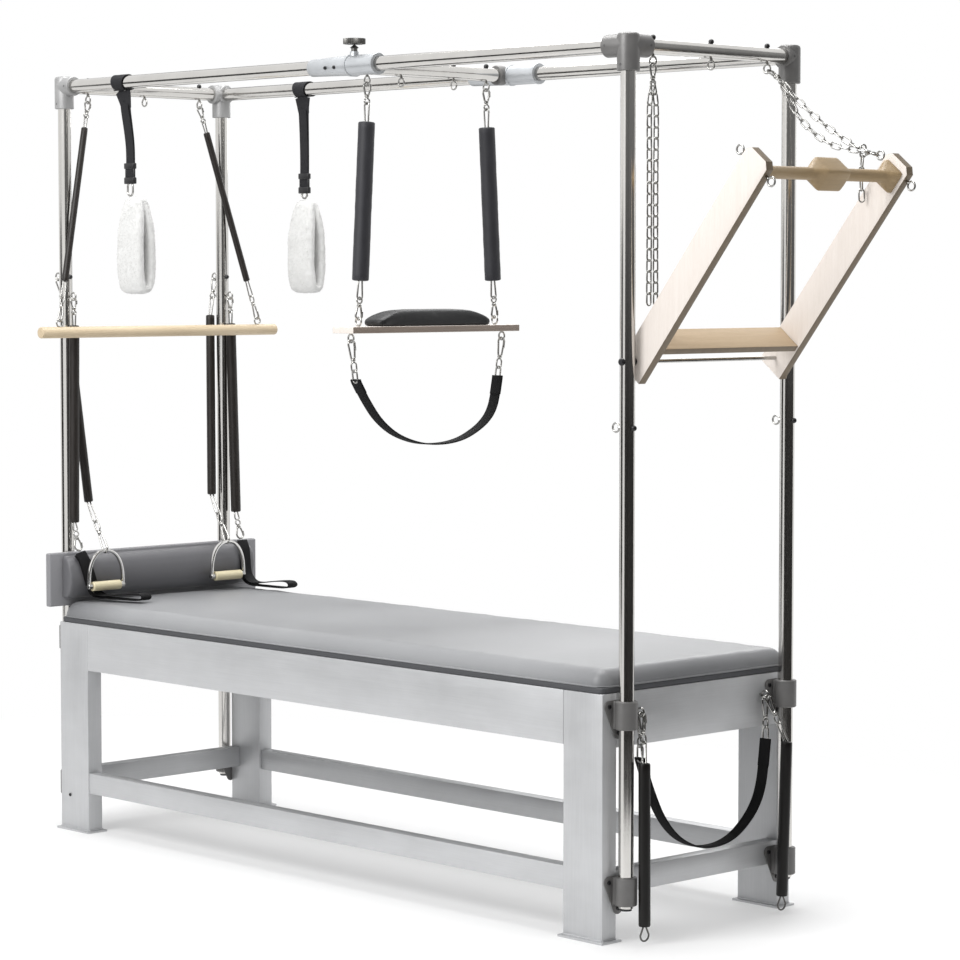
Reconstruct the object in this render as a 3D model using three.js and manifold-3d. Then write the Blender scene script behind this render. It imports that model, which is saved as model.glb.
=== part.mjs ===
// Trapeze table: an aluminium table with a mattress, and over it a tube frame that carries
// a push-through bar, a sliding trapeze, a roll-down bar, spring handles and straps.
// Millimetres, +Z up, +X towards the push-through bar, the origin under the middle of the part.
import * as THREE from "three";
import { mergeVertices } from "three/addons/utils/BufferGeometryUtils.js";
import Module from "manifold-3d";

// Driving dimensions.
const GAP = 0.3; // between pieces that touch
const OVERRUN = 2; // how far a cutting tool runs past a face
const FUSE = 1; // how deep two pieces of one node run into each other
const TABLE = { length: 2240, width: 700, top: 617, apron: 135, wall: 50, leg: 135 };
const FRAME = { railHeight: 2195, tubeWidth: 38, out: 30, inset: 53.5 };
const MATTRESS = { board: 21, edge: 38, crown: 10, corner: 15, inset: 3 };
const EYE = { ring: 11, wire: 2.5, drop: 35, nut: 7, standOff: 8 };
const TRAPEZE = { x: 112, inset: 76.5, overhang: 80 };
const BAR = { pivotHeight: 1430, lean: 38.7, arm: 632, armWidth: 83, armThick: 25, inset: 37 };
const ROLL = { length: 886, radius: 16.5, hang: 722, out: 75 };
const endX = TABLE.length / 2;
const sideY = TABLE.width / 2;
const postX = endX + FRAME.out;
const postY = sideY - FRAME.inset;
const postRadius = FRAME.tubeWidth / 2;
const railZ = FRAME.railHeight;

// Round pieces are faceted alike, by how much they show.
const SIDES = { round: 12, wire: 4, loop: 6, link: 6, sleeve: 8, pin: 6, chain: 4 };

const X = new THREE.Vector3(1, 0, 0);
const Y = new THREE.Vector3(0, 1, 0);
const Z = new THREE.Vector3(0, 0, 1);
const at = (x, y, z) => new THREE.Vector3(x, y, z);
const along = (from, direction, length) => from.clone().addScaledVector(direction, length);
const towards = (from, to) => to.clone().sub(from).normalize();

const wasm = await Module();
wasm.setup();

const root = new THREE.Group();
const FINISHES = {
  aluminium: { color: 0xb4b8bb, roughness: 0.45, metalness: 0.7 },
  chrome: { color: 0xc8c8c6, roughness: 0.12, metalness: 1 },
  bracketGrey: { color: 0x6b6661, roughness: 0.5, metalness: 0.1 },
  greyVinyl: { color: 0x9b9b9d, roughness: 0.5, metalness: 0 },
  boardVinyl: { color: 0x55565a, roughness: 0.6, metalness: 0 },
  headVinyl: { color: 0x6f6e72, roughness: 0.5, metalness: 0 },
  blackVinyl: { color: 0x26272a, roughness: 0.6, metalness: 0 },
  sleeve: { color: 0x2b2622, roughness: 0.45, metalness: 0 },
  webbing: { color: 0x1b1b1c, roughness: 0.85, metalness: 0 },
  strapGrey: { color: 0x3c3c3e, roughness: 0.85, metalness: 0 },
  fleece: { color: 0xf1f0ed, roughness: 1, metalness: 0 },
  wood: { color: 0xdcc6a0, roughness: 0.6, metalness: 0 },
  castAlloy: { color: 0xb9bcc0, roughness: 0.35, metalness: 0.6 },
};
const materials = Object.fromEntries(
  Object.entries(FINISHES).map(([name, finish]) => [name, new THREE.MeshStandardMaterial(finish)]),
);

function add(name, geometry, finish, parent = root) {
  const mesh = new THREE.Mesh(geometry, materials[finish]);
  mesh.name = name;
  parent.add(mesh);
  return mesh;
}

// Joining and cutting closed geometries.
function solid(geometry) {
  const plain = geometry.index ? geometry.toNonIndexed() : geometry.clone();
  plain.deleteAttribute("normal");
  plain.deleteAttribute("uv");
  const merged = mergeVertices(plain);
  return new wasm.Manifold(
    new wasm.Mesh({
      numProp: 3,
      vertProperties: merged.attributes.position.array,
      triVerts: new Uint32Array(merged.index.array),
    }),
  );
}

function geometryOf(manifold) {
  const { vertProperties, triVerts } = manifold.getMesh();
  const geometry = new THREE.BufferGeometry();
  geometry.setAttribute("position", new THREE.BufferAttribute(new Float32Array(vertProperties), 3));
  geometry.setIndex(new THREE.BufferAttribute(new Uint32Array(triVerts), 1));
  geometry.computeVertexNormals();
  return geometry;
}

const tidy = (manifold) => geometryOf(manifold.simplify(GAP / 5));
const join = (geometries) => tidy(geometries.map(solid).reduce((a, b) => a.add(b)));
const cut = (geometry, tools) =>
  tidy(tools.map(solid).reduce((a, b) => a.subtract(b), solid(geometry)));

// A box between two corners.
function box(low, high) {
  const size = high.clone().sub(low);
  const middle = low.clone().add(high).multiplyScalar(1 / 2);
  return new THREE.BoxGeometry(size.x, size.y, size.z).translate(middle.x, middle.y, middle.z);
}

// Turns a geometry made along +Y so that it starts at a point and runs in a direction.
function aim(geometry, from, direction) {
  const turn = new THREE.Quaternion().setFromUnitVectors(Y, direction);
  return geometry.applyQuaternion(turn).translate(from.x, from.y, from.z);
}

function rod(from, to, radius, sides = SIDES.round) {
  const length = from.distanceTo(to);
  const shape = new THREE.CylinderGeometry(radius, radius, length, sides);
  return aim(shape.translate(0, length / 2, 0), from, towards(from, to));
}

// A cutting tool whose flats stand at the radius, for a rod that may be turned in it.
const borer = (from, to, radius, sides) => rod(from, to, radius / Math.cos(Math.PI / sides), sides);

// A turned piece: [radius, distance] pairs along a line, closed on the axis at both ends.
function turned(profile, from, direction, sides = SIDES.round) {
  const points = profile.map(([radius, distance]) => new THREE.Vector2(radius, distance));
  return aim(new THREE.LatheGeometry(points, sides), from, direction);
}

// A plate with an outline in its own plane, from a list of THREE.Vector2, thick along +Z.
function plate(outline, thick) {
  return new THREE.ExtrudeGeometry(new THREE.Shape(outline), { depth: thick, bevelEnabled: false });
}

// A wire of round section along a curve.
function wireAlong(curve, radius, steps, sides = SIDES.wire) {
  const points = Array.from({ length: sides }, (_, n) => {
    const angle = (2 * Math.PI * n) / sides;
    return new THREE.Vector2(radius * Math.cos(angle), radius * Math.sin(angle));
  });
  return new THREE.ExtrudeGeometry(new THREE.Shape(points), {
    steps,
    extrudePath: curve,
    bevelEnabled: false,
  });
}

// A closed wire link from a to b, whose end wires have their middles there: a ring that is
// pulled out along its length. It is as wide as twice half, in the direction across. A corner
// halfway along a side stays there, drawn in to that width.
function link(a, b, half, wire, across, sides = SIDES.wire, steps = SIDES.link) {
  const down = towards(a, b);
  const stretch = a.distanceTo(b) / 2 - half;
  const corner = half / Math.cos(Math.PI / steps);
  const ring = new THREE.TorusGeometry(corner, wire, sides, steps).rotateZ(Math.PI / steps);
  const place = ring.getAttribute("position");
  for (let n = 0; n < place.count; n += 1) {
    const x = place.getX(n);
    if (Math.abs(x) > wire / 2) place.setX(n, x + Math.sign(x) * stretch);
    else if (stretch > wire) place.setY(n, place.getY(n) * Math.cos(Math.PI / steps));
  }
  const side = across.clone().addScaledVector(down, -across.dot(down)).normalize();
  const turn = new THREE.Matrix4().makeBasis(down, side, down.clone().cross(side));
  const middle = a.clone().add(b).multiplyScalar(1 / 2);
  return ring.applyMatrix4(turn).translate(middle.x, middle.y, middle.z);
}

// A row of links from a to b that hang in each other, the last one across as given.
function links(a, b, count, half, wire, lastAcross) {
  const down = towards(a, b);
  const hook = 2 * wire - FUSE;
  const length = (a.distanceTo(b) + (count - 1) * hook) / count;
  return Array.from({ length: count }, (_, n) => {
    const start = along(a, down, n * (length - hook));
    const flat = (count - 1 - n) % 2 === 0;
    const across = flat ? lastAcross : lastAcross.clone().cross(down).normalize();
    return link(start, along(start, down, length), half, wire, across);
  });
}

// An eye bolt: a wire ring, a shank through what carries it, and a round nut behind.
const SHANK = { radius: 3.5, collar: 6, collarLength: 4 };
function eyeBolt(ring, towardsNut, nutDistance, holeAxis) {
  const across = holeAxis.clone().cross(towardsNut).normalize();
  const half = EYE.ring;
  const start = along(ring, towardsNut, -half);
  const loop = link(start, along(ring, towardsNut, half), half, EYE.wire, across, SIDES.wire, SIDES.loop);
  const foot = along(ring, towardsNut, half - EYE.wire / 2);
  const nut = along(ring, towardsNut, nutDistance);
  const ball = new THREE.SphereGeometry(EYE.nut, SIDES.pin, SIDES.pin / 2);
  return [loop, rod(foot, nut, SHANK.radius, SIDES.pin), aim(ball, nut, towardsNut)];
}

// How far below an eye's middle the end wire of the link lies that hangs in it.
const LINK = { half: 11, wire: 2.6 };
const HOOK_DROP = EYE.ring - EYE.wire - LINK.wire - GAP;
const hangs = (ring) => along(ring, Z, -HOOK_DROP);
// The same in an eye bolt that lies level, whose ring has a corner below, and in one from which
// the link leans away sideways.
const cornerDrop = HOOK_DROP + EYE.ring / Math.cos(Math.PI / SIDES.loop) - EYE.ring;
const hangsLevel = (ring) => along(ring, Z, -cornerDrop);
const leans = (ring) => along(ring, Z, GAP / 2 - HOOK_DROP);
const leansLevel = (ring) => along(ring, Z, GAP - cornerDrop);
// The same where a flat of the link's wire faces the ring, not an edge.
const leansFlat = (ring) => along(leans(ring), Z, LINK.wire * (Math.SQRT1_2 - 1));

// A spring in its sleeve, with links from a hanging point to its top and from its foot on.
const SLEEVE = { round: 4, tuck: 9 };
function sling({ top, sleeveTop, sleeveFoot, foot, radius, upper, lower, topAcross, footAcross }) {
  const down = towards(sleeveTop, sleeveFoot);
  const length = sleeveTop.distanceTo(sleeveFoot);
  const sleeve = turned(
    [
      [0, 0],
      [radius - SLEEVE.round, 0],
      [radius, SLEEVE.round],
      [radius, length - SLEEVE.round],
      [radius - SLEEVE.round, length],
      [0, length],
    ],
    sleeveTop,
    down,
    SIDES.sleeve,
  );
  const inTop = along(sleeveTop, towards(top, sleeveTop), SLEEVE.tuck);
  const inFoot = along(sleeveFoot, towards(foot, sleeveFoot), SLEEVE.tuck);
  const upperLinks = links(inTop, top, upper, LINK.half, LINK.wire, topAcross);
  const lowerLinks = links(inFoot, foot, lower, LINK.half, LINK.wire, footAcross);
  return join([sleeve, ...upperLinks, ...lowerLinks]);
}

// The welded table: two end frames, two long aprons, two long stretchers.
const STRETCHER = { low: 118, high: 178, wall: 40, inset: 2 };
const FOOT = { margin: 10, thick: 6 };
const LOWER_EYE = { inset: 118, drop: 52, out: 17 };
const legInner = endX - TABLE.leg;
const lowerEyeY = sideY - LOWER_EYE.inset;
const lowerEyeZ = TABLE.top - LOWER_EYE.drop;
for (const [name, side] of [["left", -1], ["right", 1]]) {
  const pieces = [];
  const spans = (x0, x1, y0, y1, z0, z1) =>
    box(
      at(Math.min(side * x0, side * x1), y0, z0),
      at(Math.max(side * x0, side * x1), y1, z1),
    );
  for (const y of [-1, 1]) {
    const [near, far] = [y * sideY, y * (sideY - TABLE.wall)].sort((a, b) => a - b);
    pieces.push(spans(legInner, endX, near, far, 0, TABLE.top));
    const [out, inn] = [near - FOOT.margin, far + FOOT.margin];
    pieces.push(spans(legInner - FOOT.margin, endX + FOOT.margin, out, inn, 0, FOOT.thick));
  }
  const inner = sideY - TABLE.wall + FUSE;
  pieces.push(spans(endX - TABLE.wall, endX, -inner, inner, TABLE.top - TABLE.apron, TABLE.top));
  pieces.push(spans(endX - STRETCHER.wall, endX, -inner, inner, STRETCHER.low, STRETCHER.high));
  if (side > 0)
    for (const y of [-lowerEyeY, lowerEyeY]) {
      const ring = at(endX + LOWER_EYE.out, y, lowerEyeZ);
      const [loop, shank] = eyeBolt(ring, X.clone().negate(), LOWER_EYE.out + EYE.ring, Y);
      pieces.push(loop, shank);
    }
  add(`end_frame_${name}`, join(pieces), "aluminium");
}
for (const [name, side] of [["near", -1], ["far", 1]]) {
  const bar = (low, high, wall, inset) => {
    const outer = side * (sideY - inset);
    const [y0, y1] = [outer, outer - side * wall].sort((a, b) => a - b);
    return box(at(GAP - legInner, y0, low), at(legInner - GAP, y1, high));
  };
  add(`apron_${name}`, bar(TABLE.top - TABLE.apron, TABLE.top, TABLE.wall, 0), "aluminium");
  const { low, high, wall, inset } = STRETCHER;
  add(`stretcher_${name}`, bar(low, high, wall, inset), "aluminium");
}

// A rectangle with round corners, drawn in by some distance, as points.
function roundedRectangle(length, width, corner, drawnIn, steps) {
  const radius = Math.max(corner - drawnIn, corner / 4);
  const [halfX, halfY] = [length / 2 - drawnIn - radius, width / 2 - drawnIn - radius];
  const points = [];
  for (let quarter = 0; quarter < 4; quarter += 1)
    for (let n = 0; n <= steps; n += 1) {
      const angle = (Math.PI / 2) * (quarter + n / steps);
      const signX = quarter === 0 || quarter === 3 ? 1 : -1;
      const signY = quarter < 2 ? 1 : -1;
      points.push(
        new THREE.Vector2(
          signX * halfX + radius * Math.cos(angle),
          signY * halfY + radius * Math.sin(angle),
        ),
      );
    }
  return points;
}

// A closed skin over rings of points that have the same count, from the lowest to the highest.
function loft(rings) {
  const count = rings[0].length;
  const middle = (ring) =>
    ring.reduce((sum, p) => sum.add(p), new THREE.Vector3()).multiplyScalar(1 / count);
  const points = [...rings.flat(), middle(rings[0]), middle(rings.at(-1))];
  const index = [];
  rings.slice(1).forEach((_, ring) => {
    for (let n = 0; n < count; n += 1) {
      const a = ring * count + n;
      const b = ring * count + ((n + 1) % count);
      index.push(a, b, b + count, a, b + count, a + count);
    }
  });
  const last = (rings.length - 1) * count;
  for (let n = 0; n < count; n += 1) {
    const next = (n + 1) % count;
    index.push(points.length - 2, next, n);
    index.push(points.length - 1, last + n, last + next);
  }
  const geometry = new THREE.BufferGeometry().setFromPoints(points);
  geometry.setIndex(index);
  geometry.computeVertexNormals();
  return geometry;
}

// A flat band along a route: its width lies across it, as near as can be to the direction given.
function band(route, across, { width, thick }, steps) {
  const curve = new THREE.CatmullRomCurve3(route);
  const rings = Array.from({ length: steps + 1 }, (_, n) => {
    const run = curve.getTangentAt(n / steps);
    const side = across.clone().addScaledVector(run, -across.dot(run)).normalize();
    const face = run.clone().cross(side);
    return [[-1, -1], [1, -1], [1, 1], [-1, 1]].map(([a, b]) => {
      const edge = along(curve.getPointAt(n / steps), side, (a * width) / 2);
      return along(edge, face, (b * thick) / 2);
    });
  });
  return loft(rings);
}

// Board and mattress: straight sides, a rolled edge and a low crown over the whole top.
const padLength = TABLE.length - 2 * MATTRESS.inset;
const padWidth = TABLE.width - 2 * MATTRESS.inset;
const boardLow = TABLE.top + GAP;
const padLow = boardLow + MATTRESS.board + GAP;
const padTop = padLow + MATTRESS.edge + MATTRESS.crown;
const cornerSteps = 5;
const boardOutline = roundedRectangle(padLength, padWidth, MATTRESS.corner, 0, cornerSteps);
add("base_board", plate(boardOutline, MATTRESS.board).translate(0, 0, boardLow), "boardVinyl");

const rollShares = [0, 0.12, 0.3, 0.5, 0.72, 1];
const crownShares = [0.08, 0.2, 0.4, 0.65, 0.94];
function mattress() {
  const ringAt = (drawnIn, z) =>
    roundedRectangle(padLength, padWidth, 2 * MATTRESS.corner, drawnIn, cornerSteps).map((p) =>
      at(p.x, p.y, z),
    );
  const edgeTop = padLow + MATTRESS.edge;
  const roll = rollShares.map((share) => {
    const angle = (share * Math.PI) / 2;
    const drawnIn = MATTRESS.edge * (1 - Math.cos(angle));
    return ringAt(drawnIn, padLow + MATTRESS.edge * Math.sin(angle));
  });
  const inside = padWidth / 2 - MATTRESS.edge;
  const crown = crownShares.map((share) =>
    ringAt(MATTRESS.edge + inside * share, edgeTop + MATTRESS.crown * (1 - (1 - share) ** 2)),
  );
  return loft([...roll, ...crown]);
}
add("mattress", mattress(), "greyVinyl");

// Head board across the near ends of the left posts, with its half-round cushion.
const HEAD = { overhang: 43, low: 46, high: 204, thick: 21.7, margin: 42, depth: 47, lift: 6 };
const headHalf = sideY + HEAD.overhang;
const headHigh = TABLE.top + HEAD.high;
const boardBack = -postX + postRadius + GAP;
const headFront = boardBack + HEAD.thick;
add(
  "head_board",
  box(at(boardBack, -headHalf, TABLE.top + HEAD.low), at(headFront, headHalf, headHigh)),
  "headVinyl",
);
const cushionLow = padLow + MATTRESS.edge + HEAD.lift;
const cushionHigh = headHigh - HEAD.lift;
function headCushion() {
  const steps = 14;
  const halfWidth = headHalf - HEAD.margin;
  const halfHeight = (cushionHigh - cushionLow) / 2;
  const endShares = [0.9, 0.97, 1, 1, 0.97, 0.9];
  const endPlaces = [-1, -0.985, -0.95, 0.95, 0.985, 1];
  const rings = endShares.map((share, n) => {
    const ring = Array.from({ length: steps + 1 }, (_, k) => {
      const angle = (Math.PI * k) / steps;
      const out = HEAD.depth * share * Math.sin(angle) ** 0.8;
      const up = -halfHeight * share * Math.cos(angle);
      return at(headFront + GAP + out, halfWidth * endPlaces[n], cushionLow + halfHeight + up);
    });
    return ring.reverse();
  });
  return loft(rings);
}
add("head_bolster", headCushion(), "headVinyl");

// Posts, with their lower brackets and the eye bolts through them.
const COLLAR = { radius: 28, length: 70, topDrop: 17, lowHigh: 165, web: 12, webHalf: 22 };
const collarTop = TABLE.top - COLLAR.topDrop;
const FLANGE = { thick: 3, corner: 15, reachY: 32.5, screwHigh: 14, screwLow: 81, head: 6, headOut: 3 };
const POST = { low: 88, plug: 6, plugRadius: 15 };
const MID_EYE = { outerDrop: 559, innerDrop: 617, below: 161 };
const outerEyeZ = railZ - MID_EYE.outerDrop;
const innerEyeZ = railZ - MID_EYE.innerDrop;
const postEyes = {
  left: [[-1, outerEyeZ], [1, innerEyeZ]],
  right: [[-1, BAR.pivotHeight - MID_EYE.below]],
};
const eyeReach = EYE.ring + postRadius + EYE.standOff;
const nutReach = eyeReach + postRadius + EYE.nut / 2;

// The flange plate of a bracket, with its three screws, on the end frame's face.
function flange(side, y, high) {
  const corners = [
    new THREE.Vector2(-FLANGE.reachY, high - FLANGE.screwHigh),
    new THREE.Vector2(FLANGE.reachY, high - FLANGE.screwHigh),
    new THREE.Vector2(0, high - FLANGE.screwLow),
  ];
  const face = endX + GAP;
  const pieces = [];
  const centre = corners.reduce((sum, p) => sum.add(p), new THREE.Vector2()).multiplyScalar(1 / 3);
  const outline = corners.flatMap((corner) => {
    const away = Math.atan2(corner.y - centre.y, corner.x - centre.x);
    return [-1, 0, 1].map((turn) => {
      const angle = away + (turn * Math.PI) / 3;
      return new THREE.Vector2(
        corner.x + FLANGE.corner * Math.cos(angle),
        corner.y + FLANGE.corner * Math.sin(angle),
      );
    });
  });
  outline.sort(
    (p, q) =>
      Math.atan2(p.y - centre.y, p.x - centre.x) - Math.atan2(q.y - centre.y, q.x - centre.x),
  );
  const sheet = plate(outline, FLANGE.thick).applyMatrix4(
    new THREE.Matrix4().makeBasis(Y, Z, X),
  );
  const x = side > 0 ? face : -face - FLANGE.thick;
  pieces.push(sheet.translate(x, y, 0));
  corners.forEach((corner) => {
    const foot = at(side * (face + FLANGE.thick - FUSE), y + corner.x, corner.y);
    const tip = at(side * (face + FLANGE.thick + FLANGE.headOut), y + corner.x, corner.y);
    pieces.push(rod(foot, tip, FLANGE.head, SIDES.pin));
  });
  return pieces;
}

// A collar round the post with a web that reaches the flange.
function collar(side, y, high) {
  const x = side * postX;
  const low = high - COLLAR.length;
  const [a, b] = [side * (endX + GAP), side * (endX + GAP + COLLAR.web)].sort((p, q) => p - q);
  return [
    rod(at(x, y, low), at(x, y, high), COLLAR.radius),
    box(at(a, y - COLLAR.webHalf, low), at(b, y + COLLAR.webHalf, high)),
  ];
}

const postBore = (side, y, low, high) =>
  rod(at(side * postX, y, low), at(side * postX, y, high), postRadius + 2 * GAP);

const SOCKET = {
  radius: 28,
  cap: 30,
  core: 24,
  near_right: { x: 69, y: 65, z: 62 },
  far_right: { x: 30, y: 27, z: 68 },
  near_left: { x: 50, y: 30, z: 65 },
  far_left: { x: 27, y: 39, z: 70 },
};
const AXLE = { radius: 5, washer: 10, head: 9, headLength: 6 };
for (const [end, side] of [["left", -1], ["right", 1]])
  for (const [row, y] of [["near", -postY], ["far", postY]]) {
    const x = side * postX;
    const tip = railZ - SOCKET.core - GAP;
    const pieces = [rod(at(x, y, POST.low), at(x, y, tip), postRadius)];
    pieces.push(rod(at(x, y, POST.low - POST.plug), at(x, y, POST.low + FUSE), POST.plugRadius));
    pieces.push(...collar(side, y, COLLAR.lowHigh), ...flange(side, y, COLLAR.lowHigh));
    for (const [way, z] of postEyes[end]) {
      const ring = at(x + way * eyeReach, y, z);
      pieces.push(...eyeBolt(ring, X.clone().multiplyScalar(-way), nutReach, Y));
    }
    let post = join(pieces);
    if (side > 0) {
      const reach = COLLAR.radius;
      const hole = borer(
        at(x, y - reach, BAR.pivotHeight),
        at(x, y + reach, BAR.pivotHeight),
        AXLE.radius + GAP,
        SIDES.pin,
      );
      post = cut(post, [hole]);
    }
    add(`post_${row}_${end}`, post, "chrome");
    const bracket = [...collar(side, y, collarTop), ...flange(side, y, collarTop)];
    const bore = postBore(side, y, collarTop - 2 * COLLAR.length, collarTop + OVERRUN);
    add(`upper_bracket_${row}_${end}`, cut(join(bracket), [bore]), "bracketGrey");
  }

// Corner fittings: three sockets round one corner, each with its tube's bore.
const pipeBore = postRadius + GAP;
for (const [end, side] of [["left", -1], ["right", 1]])
  for (const [row, sideways] of [["near", -1], ["far", 1]]) {
    const reach = SOCKET[`${row}_${end}`];
    const centre = at(side * postX, sideways * postY, railZ);
    const inwards = [X.clone().multiplyScalar(-side), Y.clone().multiplyScalar(-sideways)];
    const down = Z.clone().negate();
    const lengths = [reach.x, reach.y, reach.z];
    const directions = [...inwards, down];
    const outer = directions.map((direction, n) => {
      const back = direction === down ? SOCKET.cap : 0;
      return rod(along(centre, direction, -back), along(centre, direction, lengths[n]), SOCKET.radius);
    });
    const bores = directions.map((direction, n) =>
      rod(
        along(centre, direction, SOCKET.core),
        along(centre, direction, lengths[n] + OVERRUN),
        pipeBore,
      ),
    );
    add(`corner_fitting_${row}_${end}`, cut(join(outer), bores), "bracketGrey");
  }

// Long rails and cross rails, the cross rails with three eye bolts each.
const railInset = SOCKET.core + GAP;
for (const [row, y] of [["near", -postY], ["far", postY]]) {
  const half = postX - railInset;
  const ends = [at(-half, y, railZ), at(half, y, railZ)];
  add(`rail_${row}`, rod(...ends, postRadius), "chrome");
}
const CROSS_EYES = { inset: 86.5 };
const crossEyeY = postY - CROSS_EYES.inset;
const topNut = EYE.drop + postRadius + EYE.nut / 2;
for (const [end, side] of [["left", -1], ["right", 1]]) {
  const half = postY - railInset;
  const x = side * postX;
  const pieces = [
    rod(at(x, -half, railZ), at(x, half, railZ), postRadius),
  ];
  for (const y of [-crossEyeY, 0, crossEyeY])
    pieces.push(...eyeBolt(at(x, y, railZ - EYE.drop), Z, topNut, Y));
  add(`cross_rail_${end}`, join(pieces), "chrome");
}

// Sliding crossbar: a sleeve on each long rail, the tube between them and its eye bolts.
const SLIDER = {
  radius: 27,
  mouthRadius: 22,
  back: 134,
  taper: 21,
  ahead: 133,
  ring: 29,
  ringLength: 6,
  screwGap: 36,
  screwRadius: 5,
  screwOut: 3,
};
const CROSSBAR = { innerEye: 123, saddle: 14 };
const KNOB = { ahead: 35.5, radius: 30, rise: 55, thick: 16, stem: 6, boss: 12, bossRise: 37 };
const sliderBack = TRAPEZE.x - SLIDER.back;
const sliderTaper = TRAPEZE.x + SLIDER.taper;
const sliderAhead = TRAPEZE.x + SLIDER.ahead;
const stance = postY - TRAPEZE.inset;
const knobX = TRAPEZE.x + KNOB.ahead;
const knobLow = railZ + KNOB.rise;
const bossHigh = railZ + KNOB.bossRise;
function crossbar() {
  const pieces = [];
  for (const side of [-1, 1]) {
    const axis = at(0, side * postY, railZ);
    const spots = [
      [0, sliderBack],
      [SLIDER.mouthRadius, sliderBack],
      [SLIDER.radius, sliderTaper],
      [SLIDER.ring, sliderTaper],
      [SLIDER.ring, sliderTaper + SLIDER.ringLength],
      [SLIDER.radius, sliderTaper + SLIDER.ringLength],
      [SLIDER.radius, sliderAhead - SLIDER.ringLength],
      [SLIDER.ring, sliderAhead - SLIDER.ringLength],
      [SLIDER.ring, sliderAhead],
      [0, sliderAhead],
    ];
    pieces.push(turned(spots, axis, X));
    for (const step of [0, 1]) {
      const x = TRAPEZE.x - SLIDER.screwGap * (step + 1 / 2);
      const inside = at(x, side * (postY + postRadius + SHANK.radius), railZ);
      const out = side * (postY + SLIDER.radius + SLIDER.screwOut);
      pieces.push(rod(inside, at(x, out, railZ), SLIDER.screwRadius, SIDES.pin));
    }
  }
  const half = postY - postRadius;
  const [low, high] = [at(TRAPEZE.x, -half, railZ), at(TRAPEZE.x, half, railZ)];
  pieces.push(rod(low, high, postRadius));
  for (const side of [-1, 1]) {
    const start = at(TRAPEZE.x, side * (postY - SLIDER.radius - CROSSBAR.saddle), railZ);
    pieces.push(rod(start, along(start, Y, side * CROSSBAR.saddle * 2), SLIDER.radius));
  }
  for (const y of [stance, stance - CROSSBAR.innerEye])
    for (const side of [-1, 1])
      pieces.push(...eyeBolt(at(TRAPEZE.x, side * y, railZ - EYE.drop), Z, topNut, Y));
  const knobFoot = at(knobX, -postY, railZ);
  pieces.push(rod(knobFoot, at(knobX, -postY, bossHigh), KNOB.boss));
  const bores = [-1, 1].map((side) =>
    rod(
      at(sliderBack - OVERRUN, side * postY, railZ),
      at(sliderAhead + OVERRUN, side * postY, railZ),
      postRadius + 2 * GAP,
    ),
  );
  const screwHole = borer(
    along(knobFoot, Z, postRadius),
    at(knobX, -postY, bossHigh + OVERRUN),
    KNOB.stem + GAP,
    SIDES.pin,
  );
  return cut(join(pieces), [...bores, screwHole]);
}
add("crossbar", crossbar(), "castAlloy");
const knobAxis = at(knobX, -postY, 0);
const knobFlutes = 18;
const knobDisc = Array.from({ length: knobFlutes }, (_, n) => {
  const angle = (2 * Math.PI * n) / knobFlutes;
  const radius = n % 2 ? KNOB.radius : KNOB.radius - OVERRUN;
  return new THREE.Vector2(radius * Math.cos(angle), radius * Math.sin(angle));
});
add(
  "clamp_knob",
  join([
    plate(knobDisc, KNOB.thick).translate(knobAxis.x, knobAxis.y, knobLow),
    rod(
      along(knobAxis, Z, railZ + postRadius + 2 * GAP),
      along(knobAxis, Z, knobLow + FUSE),
      KNOB.stem,
      SIDES.pin,
    ),
  ]),
  "chrome",
);

// Roll-down bar: a wooden rod with an eye at each sling, and its two springs.
const ROLL_SLING = { inset: 69, radius: 10 };
const sleeveShares = [0.12, 0.82];
const rollX = -postX + ROLL.out;
const rollZ = railZ - ROLL.hang;
const slingY = ROLL.length / 2 - ROLL_SLING.inset;
function rollDownBar() {
  const half = ROLL.length / 2;
  const chamfer = OVERRUN;
  const profile = [
    [0, 0],
    [ROLL.radius - chamfer, 0],
    [ROLL.radius, chamfer],
    [ROLL.radius, ROLL.length - chamfer],
    [ROLL.radius - chamfer, ROLL.length],
    [0, ROLL.length],
  ];
  const pieces = [turned(profile, at(rollX, -half, rollZ), Y)];
  for (const side of [-1, 1]) {
    const ring = at(rollX, side * slingY, rollZ + ROLL.radius + EYE.ring);
    pieces.push(...eyeBolt(ring, Z.clone().negate(), EYE.ring + ROLL.radius, X).slice(0, 2));
  }
  return join(pieces);
}
add("roll_down_bar", rollDownBar(), "wood");
for (const [row, side] of [["near", -1], ["far", 1]]) {
  const eye = at(-postX, side * crossEyeY, railZ - EYE.drop);
  const top = leansFlat(eye);
  const ring = at(rollX, side * slingY, rollZ + ROLL.radius + EYE.ring);
  const foot = along(ring, Z, HOOK_DROP + GAP / 2);
  const shares = (share) => top.clone().lerp(foot, share);
  const spec = {
    top,
    sleeveTop: shares(sleeveShares[0]),
    sleeveFoot: shares(sleeveShares[1]),
    foot,
    radius: ROLL_SLING.radius,
    upper: 1,
    lower: 2,
    topAcross: Y,
    footAcross: X,
  };
  add(`roll_down_spring_${row}`, sling(spec), "sleeve");
}

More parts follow.
